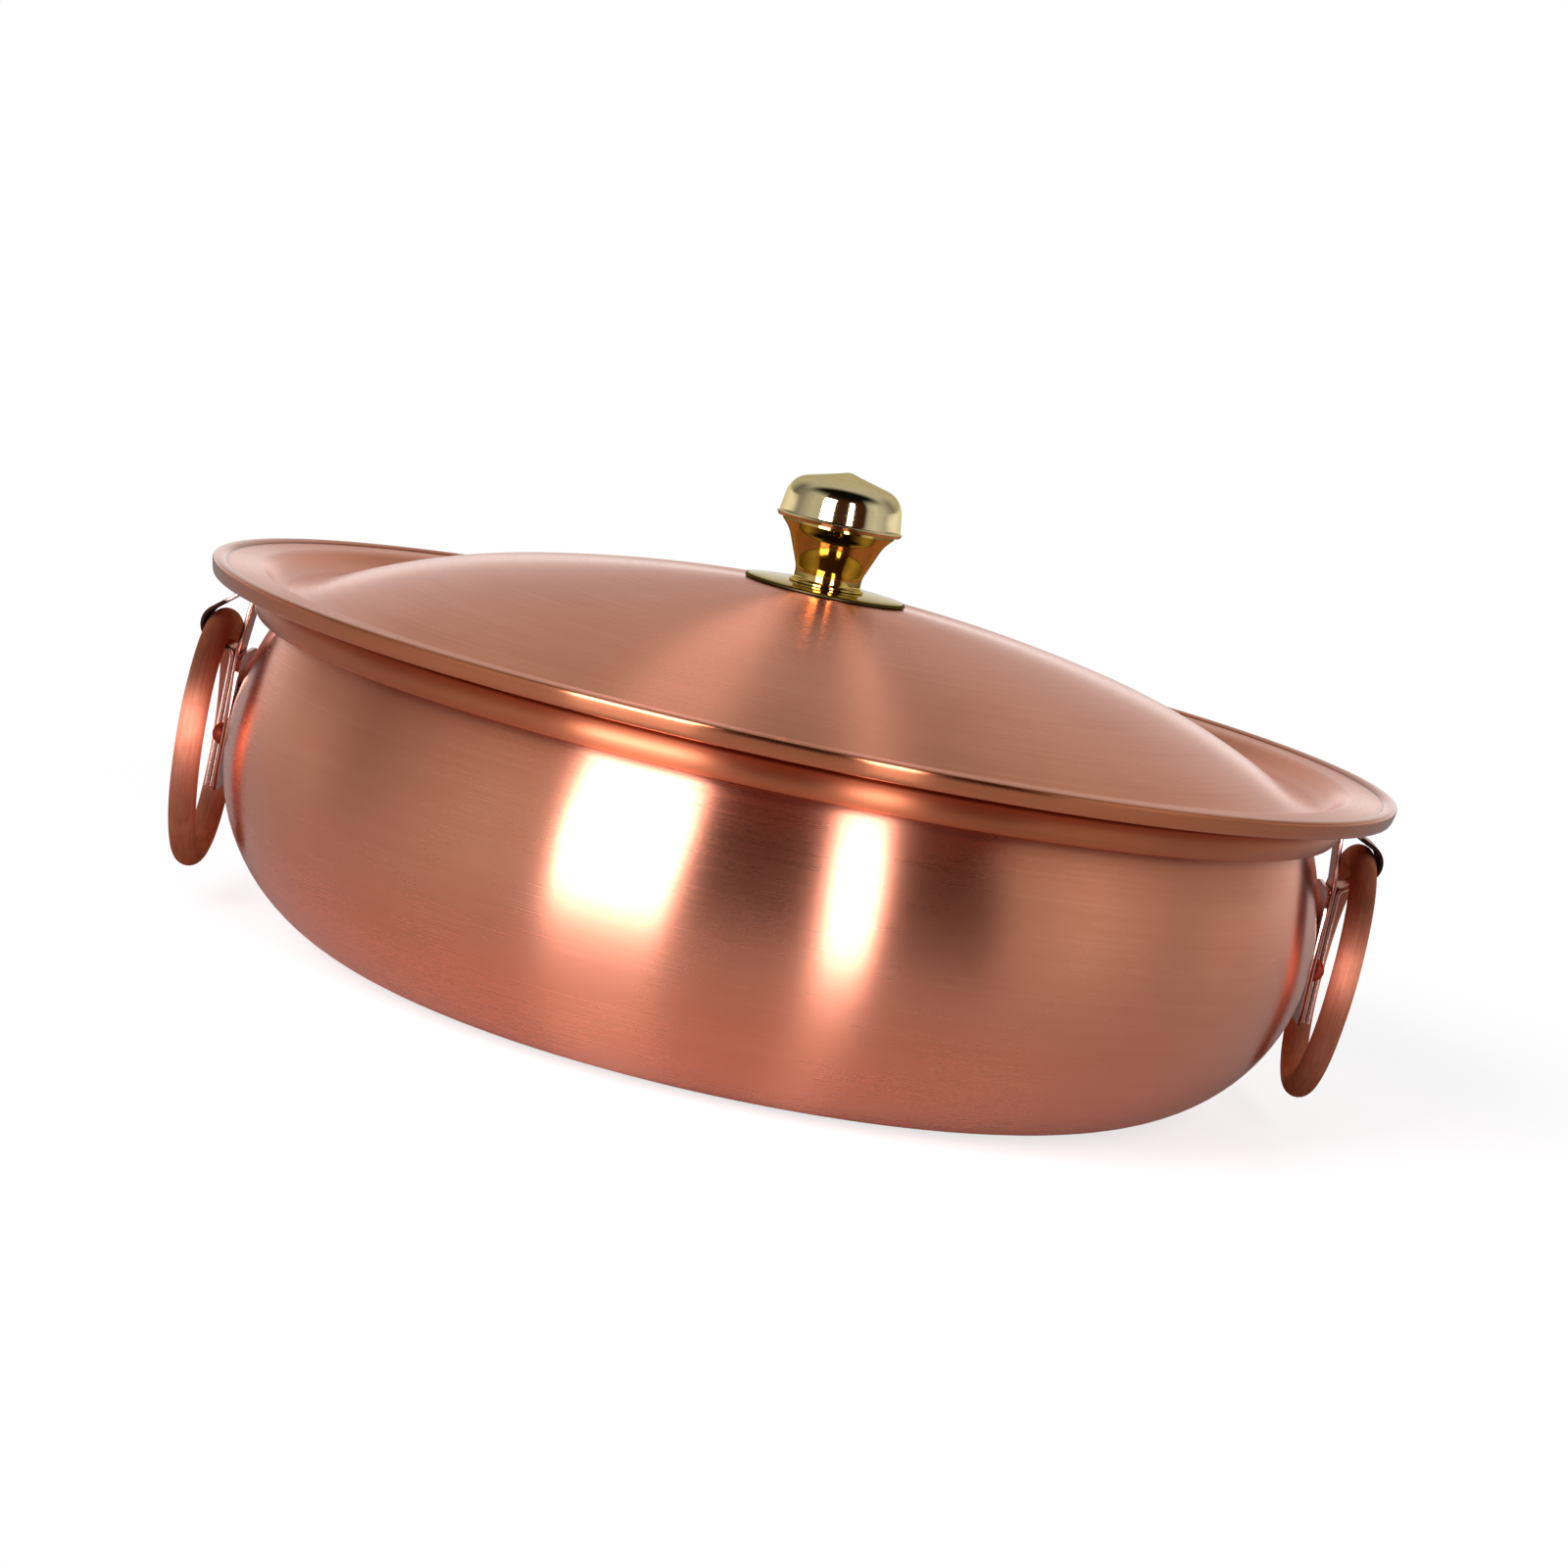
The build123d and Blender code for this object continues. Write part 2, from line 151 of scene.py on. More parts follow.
# Circles, as radius and height, by which other sizes and the metals' marks are set
RIM_BEAD = RIM_SEAT + POT_SHEET         # outer radius of the rolled rim
rim_centre = np.array([BELLY_RADIUS - RIM_INSET - RIM_BEAD, RIM_HEIGHT - RIM_BEAD])
seat_reach = GUTTER_BEND_RADIUS + LID_SHEET + RIM_BEAD + GUTTER_SEAT_GAP
gutter_radius = rim_centre[0] - GUTTER_INSET
gutter_height = rim_centre[1] + np.sqrt(seat_reach**2 - GUTTER_INSET**2) - GUTTER_BEND_RADIUS
brim_height = gutter_height + BRIM_RISE
HEM_BEAD = HEM_SEAT + LID_SHEET         # outer radius of the rolled hem
hem_centre = np.array([LID_RADIUS - HEM_BEAD, brim_height + HEM_STEP - HEM_BEAD])
hem_crease_angle = 180 - np.degrees(np.arcsin((brim_height - hem_centre[1]) / HEM_BEAD))

# Handle's distances from the axis
plate_back = BELLY_RADIUS + FIT
plate_front = plate_back + PLATE_SHEET
strap_back = plate_front + FIT
strap_front = strap_back + 2 * STRAP_SHEET + STRAP_SLIT
rod_drop = RING_RADIUS - np.sqrt(RING_RADIUS**2 - (STRAP_WIDTH / 2) ** 2)
eye_reach = strap_front + ROD_RADIUS + RING_CLEARANCE
eye_inside = ROD_RADIUS + rod_drop / 2 + RING_CLEARANCE
rose_edge_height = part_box("knob_rose")[0].z / MM + ROSE_SHEET / 2

# Camera of the photograph: place, tilt, turn about its own axis and lens
CAMERA_PLACE = (0.00024, -1.0, 0.1946)
CAMERA_DOWN = 7.61
CAMERA_ROLL = 12.24
CAMERA_LENS = 92.34
SENSOR_WIDTH = 36


def add_camera():
    """Camera on the side of -Y, a little above the lid and turned about its own axis."""
    data = bpy.data.cameras.new("photo_camera")
    data.lens = CAMERA_LENS
    data.sensor_width = SENSOR_WIDTH
    camera = bpy.data.objects.new("photo_camera", data)
    bpy.context.scene.collection.objects.link(camera)
    tilt = Matrix.Rotation(np.radians(90 - CAMERA_DOWN), 4, "X")
    roll = Matrix.Rotation(np.radians(CAMERA_ROLL), 4, "Z")
    camera.matrix_world = Matrix.Translation(CAMERA_PLACE) @ tilt @ roll
    bpy.context.scene.camera = camera


# Sections: paths of straight runs and round bends
STEP_LENGTH = 3.0               # longest step along a section
STEP_ANGLE = 7.0                # largest turn of one step
CORNER_POINTS = 7               # points on a rounded corner of a rectangle
ROUND_POINTS = 12               # points on a rivet's head or a rounded edge


def run(length):
    """A straight stretch of a path."""
    return length, 0


def bend(radius, turn):
    """An arc of a path: positive degrees turn left."""
    return radius, turn


def toward(heading):
    """Unit vectors of headings in degrees, from the first axis towards the second."""
    return np.stack([np.cos(np.radians(heading)), np.sin(np.radians(heading))], axis=-1)


def shares_of_turn(radius, turn):
    """Even shares of an arc's turn, so many that no step is too long or turns too far."""
    steps = max(abs(turn) / STEP_ANGLE, radius * np.radians(abs(turn)) / STEP_LENGTH)
    return np.linspace(0, turn, int(np.ceil(steps)) + 1)


def arc(centre, radius, start, turn):
    """Points of a circle: its centre plus the radius along headings that share the turn evenly."""
    return centre + radius * toward(start + shares_of_turn(radius, turn))


def trace(start, heading, steps, offset=0.0):
    """Points along a path, or along its parallel at an offset to the left.

    A run is the start plus even shares of its length. A bend is its centre plus the radius, made shorter
    by the offset where it turns left and longer where it turns right. Parallels have as many points.
    """
    point = np.array(start, float)
    lines = []
    for size, turn in steps:
        left = toward(heading + 90)
        if turn == 0:
            shares = np.linspace(0, size, int(np.ceil(size / STEP_LENGTH)) + 1)[:, None]
            lines.append(point + toward(heading) * shares + left * offset)
            point = point + toward(heading) * size
        else:
            side = np.sign(turn)
            centre = point + side * left * size
            normals = side * toward(heading + 90 + shares_of_turn(size, turn))
            lines.append(centre - normals * (size - side * offset))
            point = centre - normals[-1] * size
            heading += turn
    return np.concatenate([lines[0][:1]] + [line[1:] for line in lines])


def reach(heading, steps):
    """How far a path gets along both axes."""
    return trace((0, 0), heading, steps)[-1]


def tangent_run(centre_1, radius_1, centre_2, radius_2):
    """Heading and length of the run between two bends; the radius of a right bend is negative."""
    gap = np.subtract(centre_2, centre_1)
    length, shift = np.hypot(*gap), radius_2 - radius_1
    return np.degrees(np.arctan2(gap[1], gap[0]) - np.arcsin(shift / length)), np.sqrt(length**2 - shift**2)


def rounded_rectangle(width, height, radius, spacing=np.inf):
    """Closed outline round the origin: four quarter arcs, with even steps along the sides between them."""
    corners = [(1, 1, 0), (-1, 1, 90), (-1, -1, 180), (1, -1, 270)]
    arcs = [
        np.array([sx * (width / 2 - radius), sy * (height / 2 - radius)])
        + radius * toward(start + np.linspace(0, 90, CORNER_POINTS))
        for sx, sy, start in corners
    ]
    outline = []
    for this, following in zip(arcs, arcs[1:] + arcs[:1]):
        count = int(np.ceil(np.hypot(*(following[0] - this[-1])) / spacing))
        shares = np.linspace(0, 1, count + 1)[1:-1, None]
        outline += [this, this[-1] + (following[0] - this[-1]) * shares]
    return np.concatenate(outline)


# Surfaces: grids of points made into closed meshes
SHARP_ANGLE = 32                # faces that meet at more degrees keep a sharp edge
SAME_PLACE = 1e-6               # points closer than this, in millimetres, are one


def lathe(section):
    """Turn a section about Z: x and y are the radius times cosine and sine of the angle, z is the height."""
    angle = np.linspace(0, 2 * np.pi, AROUND, endpoint=False)
    radius, height = section[:, :1], section[:, 1:]
    return np.stack([radius * np.cos(angle), radius * np.sin(angle), height + 0 * angle], axis=-1)


def weave_grid(grid, wrap_rows):
    """Corners, faces and their lengthways and crossways places of a grid whose columns close round.

    Neighbouring rows and columns make one four-sided face. A row whose points coincide is one corner,
    with three-sided faces round it. Faces are turned so that the closed surface has a positive volume.
    """
    rows, columns = grid.shape[:2]
    pole = np.ptp(grid, axis=1).max(axis=1) < SAME_PLACE
    first_index = np.cumsum(np.where(pole, 1, columns)) - np.where(pole, 1, columns)
    index = first_index[:, None] + np.where(pole[:, None], 0, np.arange(columns))
    corners = grid[~pole[:, None] | (np.arange(columns) == 0)]
    i, j = np.meshgrid(np.arange(rows if wrap_rows else rows - 1), np.arange(columns), indexing="ij")
    i_next, j_next = (i + 1) % rows, (j + 1) % columns
    faces = np.stack([index[i, j], index[i, j_next], index[i_next, j_next], index[i_next, j]], -1)
    faces = faces.reshape(-1, 4)
    along = np.stack([i, i, i + 1, i + 1], -1).reshape(-1, 4) / rows
    across = np.stack([j, j + 1, j + 1, j], -1).reshape(-1, 4) / columns
    places = np.stack([across, along], -1)
    a, b, c, d = (corners[faces[:, k]] for k in range(4))
    volume = (np.cross(a, b) * c).sum() + (np.cross(a, c) * d).sum()
    if volume < 0:
        faces, places = faces[:, ::-1], places[:, ::-1]
    merged = faces == np.roll(faces, -1, axis=1)
    keeps = [(~merged.any(axis=1), [0, 1, 2, 3])]
    keeps += [(merged[:, k], [n for n in range(4) if n != k]) for k in range(4)]
    polygons = [faces[kept][:, picks] for kept, picks in keeps]
    places = [places[kept][:, picks] for kept, picks in keeps]
    return corners, polygons, places


def add_piece(name, grids, body, node, material, wrap_rows=False):
    """Make one object of one or more closed grids in millimetres, and set it in the frame."""
    corners, polygons, places, count = [], [], [], 0
    for grid in grids:
        grid_corners, grid_polygons, grid_places = weave_grid(grid, wrap_rows)
        corners.append(grid_corners)
        for faces, spots in zip(grid_polygons, grid_places):
            polygons += (faces + count).tolist()
            places.append(spots.reshape(-1, 2))
        count += len(grid_corners)
    mesh = bpy.data.meshes.new(name)
    mesh.from_pydata(np.concatenate(corners) * MM, [], polygons)
    mesh.uv_layers.new(name="lengthways")
    mesh.uv_layers[0].data.foreach_set("uv", np.concatenate(places).astype(np.float32).ravel())
    mesh.shade_smooth()
    mesh.set_sharp_from_angle(angle=np.radians(SHARP_ANGLE))
    mesh.materials.append(material)
    piece = bpy.data.objects.new(name, mesh)
    bpy.context.scene.collection.objects.link(piece)
    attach(piece, body)
    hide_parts(node)
    return piece


# Node helpers
def node_adder(tree):
    """Give a short way to add a node: settings by property name, input values by socket name."""
    def add(kind, inputs=None, **settings):
        node = tree.nodes.new(kind)
        for key, value in settings.items():
            setattr(node, key, value)
        for key, value in (inputs or {}).items():
            if isinstance(value, bpy.types.NodeSocket):
                tree.links.new(value, node.inputs[key])
            else:
                node.inputs[key].default_value = value
        return node
    return add


def math(add, operation, *values, clamp=False):
    """One step of arithmetic on numbers or sockets."""
    return add("ShaderNodeMath", dict(enumerate(values)), operation=operation, use_clamp=clamp).outputs[0]


def weighed(add, values, weights):
    """Sum of values, each times its weight."""
    total = 0.0
    for value, weight in zip(values, weights):
        total = math(add, "MULTIPLY_ADD", value, weight, total)
    return total


def between(add, value, limits, **settings):
    """Share of the way that a value has come from the first limit to the second, from 0 to 1."""
    first, second = limits
    return add("ShaderNodeMapRange", {0: value, 1: first, 2: second}, **settings).outputs[0]


def split(add, vector):
    """The three numbers of a vector."""
    return add("ShaderNodeSeparateXYZ", {0: vector}).outputs


def join(add, *numbers):
    """Vector of two or three numbers."""
    return add("ShaderNodeCombineXYZ", dict(enumerate(numbers))).outputs[0]


def length_of(add, vector):
    """Length of a vector."""
    return add("ShaderNodeVectorMath", {0: vector}, operation="LENGTH").outputs["Value"]


def new_group(name, inputs, outputs):
    """Empty node group with named sockets: a socket named Vector holds one, the others hold numbers."""
    tree = bpy.data.node_groups.new(name, "ShaderNodeTree")
    for way, labels in (("INPUT", inputs), ("OUTPUT", outputs)):
        for label in labels:
            kind = "NodeSocketVector" if label == "Vector" else "NodeSocketFloat"
            tree.interface.new_socket(label, in_out=way, socket_type=kind)
    add = node_adder(tree)
    return tree, add, add("NodeGroupInput").outputs, add("NodeGroupOutput")


# Noise: the values that become 0 and 1, and the number of finer layers
STREAK_NOISE, STREAK_DETAIL = (0.28, 0.72), 3.0
BAND_FINENESS, BAND_DETAIL = 0.16, 2.0     # the bands' fineness against that of the streaks
ROD_NOISE = (0.30, 0.70)
PATCH_NOISE, PATCH_DETAIL, PATCH_ROUGHNESS, PATCH_DISTORTION = (0.35, 0.65), 4.0, 0.6, 0.4
SCRATCHED_AREA_SCALE = 2.3      # against the scale of the scratches themselves
SCRATCHED_AREA_EDGE = 12.0      # how sharply such an area ends


def make_turned_marks():
    """Marks that a brush leaves on a piece that turns about Z.

    Noise is read at the direction round the axis, the height and the radius. The last two are stretched,
    so the marks are long round the axis and fine across it. Streaks are fine and Bands are broad.
    """
    tree, add, given, result = new_group(
        "turned_marks", ["Vector", "Fineness", "Length"], ["Streaks", "Bands"])
    xyz = split(add, given["Vector"])
    flat = join(add, xyz[0], xyz[1])
    radius = length_of(add, flat)
    way = split(add, add("ShaderNodeVectorMath", {0: flat}, operation="NORMALIZE").outputs[0])
    for label, share, detail in (("Streaks", 1.0, STREAK_DETAIL), ("Bands", BAND_FINENESS, BAND_DETAIL)):
        fineness = math(add, "MULTIPLY", given["Fineness"], share)
        place = join(add, math(add, "MULTIPLY", way[0], given["Length"]),
                     math(add, "MULTIPLY", way[1], given["Length"]),
                     math(add, "MULTIPLY", xyz[2], fineness))
        noise = add("ShaderNodeTexNoise", {
            "Vector": place, "W": math(add, "MULTIPLY", radius, fineness), "Scale": 1.0, "Detail": detail,
        }, noise_dimensions="4D")
        tree.links.new(between(add, noise.outputs[0], STREAK_NOISE), result.inputs[label])
    return tree


def make_hairlines():
    """Thin curved scratches: where a slow noise crosses its middle value, kept only in some areas."""
    tree, add, given, result = new_group("hairlines", ["Vector", "Scale", "Width", "Cover"], ["Mask"])
    noise = add("ShaderNodeTexNoise", {"Vector": given["Vector"], "Scale": given["Scale"], "Detail": 0.0})
    away = math(add, "ABSOLUTE", math(add, "SUBTRACT", noise.outputs[0], 0.5))
    line = math(add, "SUBTRACT", 1.0, math(add, "DIVIDE", away, given["Width"]), clamp=True)
    area_scale = math(add, "MULTIPLY", given["Scale"], SCRATCHED_AREA_SCALE)
    area = add("ShaderNodeTexNoise", {"Vector": given["Vector"], "Scale": area_scale, "Detail": 1.0})
    cover = math(add, "SUBTRACT", given["Cover"], area.outputs[0])
    there = math(add, "MULTIPLY", cover, SCRATCHED_AREA_EDGE, clamp=True)
    tree.links.new(math(add, "MULTIPLY", line, there), result.inputs["Mask"])
    return tree


def make_patches():
    """Soft blotches of handling and tarnish, from noise of a few sizes."""
    tree, add, given, result = new_group("patches", ["Vector", "Scale"], ["Mask"])
    noise = add("ShaderNodeTexNoise", {
        "Vector": given["Vector"], "Scale": given["Scale"], "Detail": PATCH_DETAIL,
        "Roughness": PATCH_ROUGHNESS, "Distortion": PATCH_DISTORTION,
    })
    tree.links.new(between(add, noise.outputs[0], PATCH_NOISE), result.inputs["Mask"])
    return tree


def make_near_circle():
    """Mask of the places near a level circle about Z: one up to the reach, then falling to zero."""
    tree, add, given, result = new_group(
        "near_circle", ["Vector", "Radius", "Height", "Reach", "Fade"], ["Mask"])
    xyz = split(add, given["Vector"])
    radius = length_of(add, join(add, xyz[0], xyz[1]))
    away = length_of(add, join(add, math(add, "SUBTRACT", radius, given["Radius"]),
                               math(add, "SUBTRACT", xyz[2], given["Height"])))
    end = math(add, "ADD", given["Reach"], given["Fade"])
    tree.links.new(between(add, away, (end, given["Reach"])), result.inputs["Mask"])
    return tree


def make_rod_marks():
    """Marks along a bent rod, read from its lengthways and crossways places.

    Both places turn into circles, so the noise meets itself, and the circle along the rod is kept short.
    """
    tree, add, given, result = new_group("rod_marks", ["Vector", "Fineness", "Length"], ["Streaks"])
    uv = split(add, given["Vector"])
    x, y, z, w = (
        math(add, "MULTIPLY", math(add, wave, math(add, "MULTIPLY", turn, 2 * np.pi)), given[size])
        for turn, size in ((uv[0], "Fineness"), (uv[1], "Length")) for wave in ("COSINE", "SINE")
    )
    noise = add("ShaderNodeTexNoise", {
        "Vector": join(add, x, y, z), "W": w, "Scale": 1.0, "Detail": STREAK_DETAIL,
    }, noise_dimensions="4D")
    tree.links.new(between(add, noise.outputs[0], ROD_NOISE), result.inputs["Streaks"])
    return tree


turned_marks = make_turned_marks()
near_circle = make_near_circle()
rod_marks = make_rod_marks()
hairlines = make_hairlines()
patches = make_patches()


def grouped(add, tree, **inputs):
    """Place a node group with its values and give back its outputs."""
    return add("ShaderNodeGroup", inputs, node_tree=tree).outputs


def blend_colour(add, share, first, second):
    """Mix two colours by a share that varies over the surface."""
    first, second = (
        colour if isinstance(colour, bpy.types.NodeSocket) else (*colour, 1) for colour in (first, second))
    return add("ShaderNodeMix", {0: share, 6: first, 7: second}, data_type="RGBA").outputs[2]


def new_material(name, edge):
    """Material with a metal shader that turns to the edge colour where it is seen at a slant."""
    material = bpy.data.materials.new(name)
    material.use_nodes = True
    tree = material.node_tree
    tree.nodes.clear()
    add = node_adder(tree)
    shader = add("ShaderNodeBsdfPrincipled", {"Metallic": 1.0, "Specular Tint": (*edge, 1)})
    add("ShaderNodeOutputMaterial", {0: shader.outputs[0]})
    return material, add, shader


def connect(add, shader, base, gloss, height, bump):
    """Give a shader its colour, roughness and fine ridges."""
    ridges = add("ShaderNodeBump", {"Height": height, "Distance": bump}).outputs[0]
    for label, value in (("Base Color", base), ("Roughness", gloss), ("Normal", ridges)):
        shader.id_data.links.new(value, shader.inputs[label])


def smear(shader, tangent, anisotropy, turn):
    """Spread a shader's reflections along a tangent, or across it after a quarter of a full turn."""
    shader.id_data.links.new(tangent, shader.inputs["Tangent"])
    shader.inputs["Anisotropic"].default_value = anisotropy
    shader.inputs["Anisotropic Rotation"].default_value = turn


# Weights by which marks add up
STREAK_WEIGHTS = (0.4, 0.6)             # finer and coarser brush marks
BRUSHED_TINT = (0.20, 0.45, 0.20)       # bands, streaks and blotches in a brushed metal's colour
BRUSHED_WEAR = (0.45, 0.55)             # blotches and streaks in its roughness
SATIN_TINT = (0.4, 0.6)                 # finer and coarser marks in the colour of other metals
SCRATCH_WEIGHTS = (-0.5, 1.0)           # scratches and streaks in a brushed metal's ridges
BUFFING_WEIGHTS = (1.0, 0.6)            # tint and buffing lines in a polished metal's roughness

# Sizes of the marks
FINER_MARKS = (2.7, 1.6)                # fineness and length of the finer brush marks against the coarser
BRUSHED_PATCHES = 14.0
ROD_PATCHES = 120.0
FINER_PATCHES = 5.0                     # scale of a polished metal's finer patches against the coarser
SCRATCHES = {"Scale": 26.0, "Width": 0.004, "Cover": 0.47}
BUFFING_LINES = {"Scale": 40.0, "Width": 0.01, "Cover": 0.5}
ROLLED_FADE = 0.4                       # millimetres in which the looks of a rolled edge end


def ring_mask(add, place, centre, reach_out, fade):
    """Mask of the places near a level circle, from sizes in millimetres."""
    return grouped(add, near_circle, Vector=place, Radius=centre[0] * MM, Height=centre[1] * MM,
                   Reach=reach_out * MM, Fade=fade * MM)["Mask"]


def brushed_metal(name, colour, deep, painted_shade_colour, rough, rough_spread, fineness, length, bump, anisotropy,
                  painted_shade_rings=(), rolled=None):
    """Metal brushed round the pot's axis.

    Streaks and bands tint it between two colours, change its roughness and stand as fine ridges. The light
    spreads across the brush marks, so the anisotropy is turned a quarter from the way round. Painted shade
    darkens rings given by place, reach, fade and strength. A rolled edge has its own place, reach, colours
    and added roughness; its deeper, redder colours are a painted reflection of the copper round it.
    """
    material, add, shader = new_material(name, (1.0, 1.0, 1.0))
    place = add("ShaderNodeTexCoord").outputs["Object"]
    marks, fine = (
        grouped(add, turned_marks, Vector=place, Fineness=fineness * finer, Length=length * longer)
        for finer, longer in ((1.0, 1.0), FINER_MARKS)
    )
    blotch = grouped(add, patches, Vector=place, Scale=BRUSHED_PATCHES)["Mask"]
    lines = grouped(add, hairlines, Vector=place, **SCRATCHES)["Mask"]
    streak = weighed(add, (fine["Streaks"], marks["Streaks"]), STREAK_WEIGHTS)
    tint = weighed(add, (marks["Bands"], streak, blotch), BRUSHED_TINT)
    base = blend_colour(add, tint, colour, deep)
    gloss = math(add, "MULTIPLY_ADD", weighed(add, (blotch, streak), BRUSHED_WEAR), rough_spread, rough)
    # Rolled rim and hem: a deeper, redder copper painted as the reflection of the copper round them
    if rolled:
        centre, reach_out, rolled_colour, rolled_deep, rolled_rough = rolled
        edge = ring_mask(add, place, centre, reach_out, ROLLED_FADE)
        base = blend_colour(add, edge, base, blend_colour(add, tint, rolled_colour, rolled_deep))
        gloss = math(add, "MULTIPLY_ADD", edge, rolled_rough, gloss)
    # Painted shade: each ring turns the colour towards the dark shade colour in creases and under the lid
    for centre, reach_out, fade, strength in painted_shade_rings:
        painted_shade = math(add, "MULTIPLY", ring_mask(add, place, centre, reach_out, fade), strength)
        base = blend_colour(add, painted_shade, base, painted_shade_colour)
    connect(add, shader, base, gloss, weighed(add, (lines, streak), SCRATCH_WEIGHTS), bump)
    xyz = split(add, place)
    smear(shader, join(add, math(add, "MULTIPLY", xyz[1], -1.0), xyz[0]), anisotropy, 0.25)
    return material


def polished_metal(name, colour, deep, edge, rough, rough_spread, scale, bump):
    """Polished or satin metal: soft blotches of tone and gloss, with thin buffing lines."""
    material, add, shader = new_material(name, edge)
    place = add("ShaderNodeTexCoord").outputs["Object"]
    blotch = grouped(add, patches, Vector=place, Scale=scale)["Mask"]
    fine_blotch = grouped(add, patches, Vector=place, Scale=scale * FINER_PATCHES)["Mask"]
    lines = grouped(add, hairlines, Vector=place, **BUFFING_LINES)["Mask"]
    tint = weighed(add, (fine_blotch, blotch), SATIN_TINT)
    gloss = weighed(add, (tint, lines), BUFFING_WEIGHTS)
    connect(add, shader, blend_colour(add, tint, colour, deep),
            math(add, "MULTIPLY_ADD", gloss, rough_spread, rough),
            math(add, "SUBTRACT", fine_blotch, lines), bump)
    return material


def rod_metal(name, colour, deep, edge, rough, rough_spread, fineness, length, bump, anisotropy):
    """Satin metal brushed along a rod, so that light spreads round the rod's section."""
    material, add, shader = new_material(name, edge)
    coordinates = add("ShaderNodeTexCoord").outputs
    streak = grouped(add, rod_marks, Vector=coordinates["UV"], Fineness=fineness, Length=length)["Streaks"]
    blotch = grouped(add, patches, Vector=coordinates["Object"], Scale=ROD_PATCHES)["Mask"]
    tint = weighed(add, (blotch, streak), SATIN_TINT)
    connect(add, shader, blend_colour(add, tint, colour, deep),
            math(add, "MULTIPLY_ADD", tint, rough_spread, rough), tint, bump)
    round_way = add("ShaderNodeTangent", direction_type="UV_MAP", uv_map="lengthways")
    smear(shader, round_way.outputs[0], anisotropy, 0.0)
    return material


# Painted shade, in millimetres: each pair says where it starts and where it is full
PAINTED_SHADE_ROUGHNESS = 0.3                    # added where it is full
ROSE_SHADE_OUT, ROSE_SHADE_REACH, ROSE_SHADE_FADE = 1.0, 1.1, 0.2
STRAP_SHADE_EDGE = (0.4, 0.2)            # inside the strap's edges
STRAP_SHADE_NEAR = (7.5, 6.0)            # from the eye's centre
EYE_SHADE = (0.5, 0.2)                   # outside the eye's inner face


def add_painted_shade(material, colour, mask_of):
    """Paint shade on a metal by a mask: its colour turns to the shade's colour and its gloss goes."""
    tree = material.node_tree
    add = node_adder(tree)
    shader = next(node for node in tree.nodes if node.type == "BSDF_PRINCIPLED")
    mask = mask_of(add, add("ShaderNodeTexCoord").outputs["Object"])
    unshaded, rough = (shader.inputs[label].links[0].from_socket for label in ("Base Color", "Roughness"))
    tree.links.new(blend_colour(add, mask, unshaded, colour), shader.inputs["Base Color"])
    tree.links.new(math(add, "MULTIPLY_ADD", mask, PAINTED_SHADE_ROUGHNESS, rough), shader.inputs["Roughness"])
    return material


def rose_edge(add, place):
    """The rose's outer rim, painted as shade in the crease where it meets the lid."""
    centre = (ROSE_RADIUS + ROSE_SHADE_OUT, rose_edge_height)
    return ring_mask(add, place, centre, ROSE_SHADE_REACH, ROSE_SHADE_FADE)


def strap_edges(eye_height):
    """Both cut edges of a strap near its eye, and the inside of its eye: places painted as shade."""
    def mask(add, place):
        xyz = split(add, place)
        edge = between(add, math(add, "ABSOLUTE", xyz[1]),
                       [(STRAP_WIDTH / 2 - inset) * MM for inset in STRAP_SHADE_EDGE])
        away = length_of(add, join(
            add, math(add, "SUBTRACT", math(add, "ABSOLUTE", xyz[0]), eye_reach * MM),
            math(add, "SUBTRACT", xyz[2], eye_height * MM)))
        near = between(add, away, [distance * MM for distance in STRAP_SHADE_NEAR])
        inside = between(add, away, [(eye_inside + out) * MM for out in EYE_SHADE])
        return math(add, "MAXIMUM", math(add, "MULTIPLY", edge, near), inside)
    return mask


# Painted shade in rings: in the crease below the rolled rim, on the rim's top under the lid, and in the
# crease
# beside the hem: centre, reach and fade in millimetres, and strength
RIM_PAINTED_SHADE = [
    (rim_centre - (0, RIM_BEAD), 0.9, 0.9, 1.0),
    (rim_centre + (0, RIM_BEAD + 1.3), 2.8, 1.0, 0.95),
]
HEM_PAINTED_SHADE = [(hem_centre + HEM_BEAD * toward(hem_crease_angle), 0.1, 0.5, 0.7)]

# Rolled edges: centre and reach in millimetres, colour, deep colour and added roughness. Their deeper, redder
# colours are a painted reflection of the copper round them.
ROLLED_RIM = (rim_centre, RIM_BEAD + 0.2, (0.70, 0.24, 0.115), (0.60, 0.185, 0.08), 0.10)
ROLLED_HEM = (hem_centre, 1.2 * HEM_BEAD + 0.2, (0.68, 0.24, 0.115), (0.58, 0.185, 0.08), -0.07)

# Brushed metals: colour, deep colour, colour of the painted shade, roughness and its spread, fineness and
# length of the marks, depth of the ridges, anisotropy. The rod's third colour is the one that it has at a
# slant.
BRUSHED_COPPER = (
    (0.91, 0.38, 0.23), (0.82, 0.30, 0.17), (0.17, 0.018, 0.003), 0.24, 0.08, 1000.0, 2.2, 0.7e-6, 1.0)
BRUSHED_STEEL = (
    (0.72, 0.71, 0.69), (0.58, 0.57, 0.55), (0.40, 0.38, 0.35), 0.25, 0.10, 1300.0, 4.0, 1.0e-5, 0.85)
ROD_COPPER = (
    (0.78, 0.33, 0.20), (0.56, 0.20, 0.11), (0.70, 0.38, 0.28), 0.58, 0.10, 7.0, 3.0, 2.0e-5, 0.8)

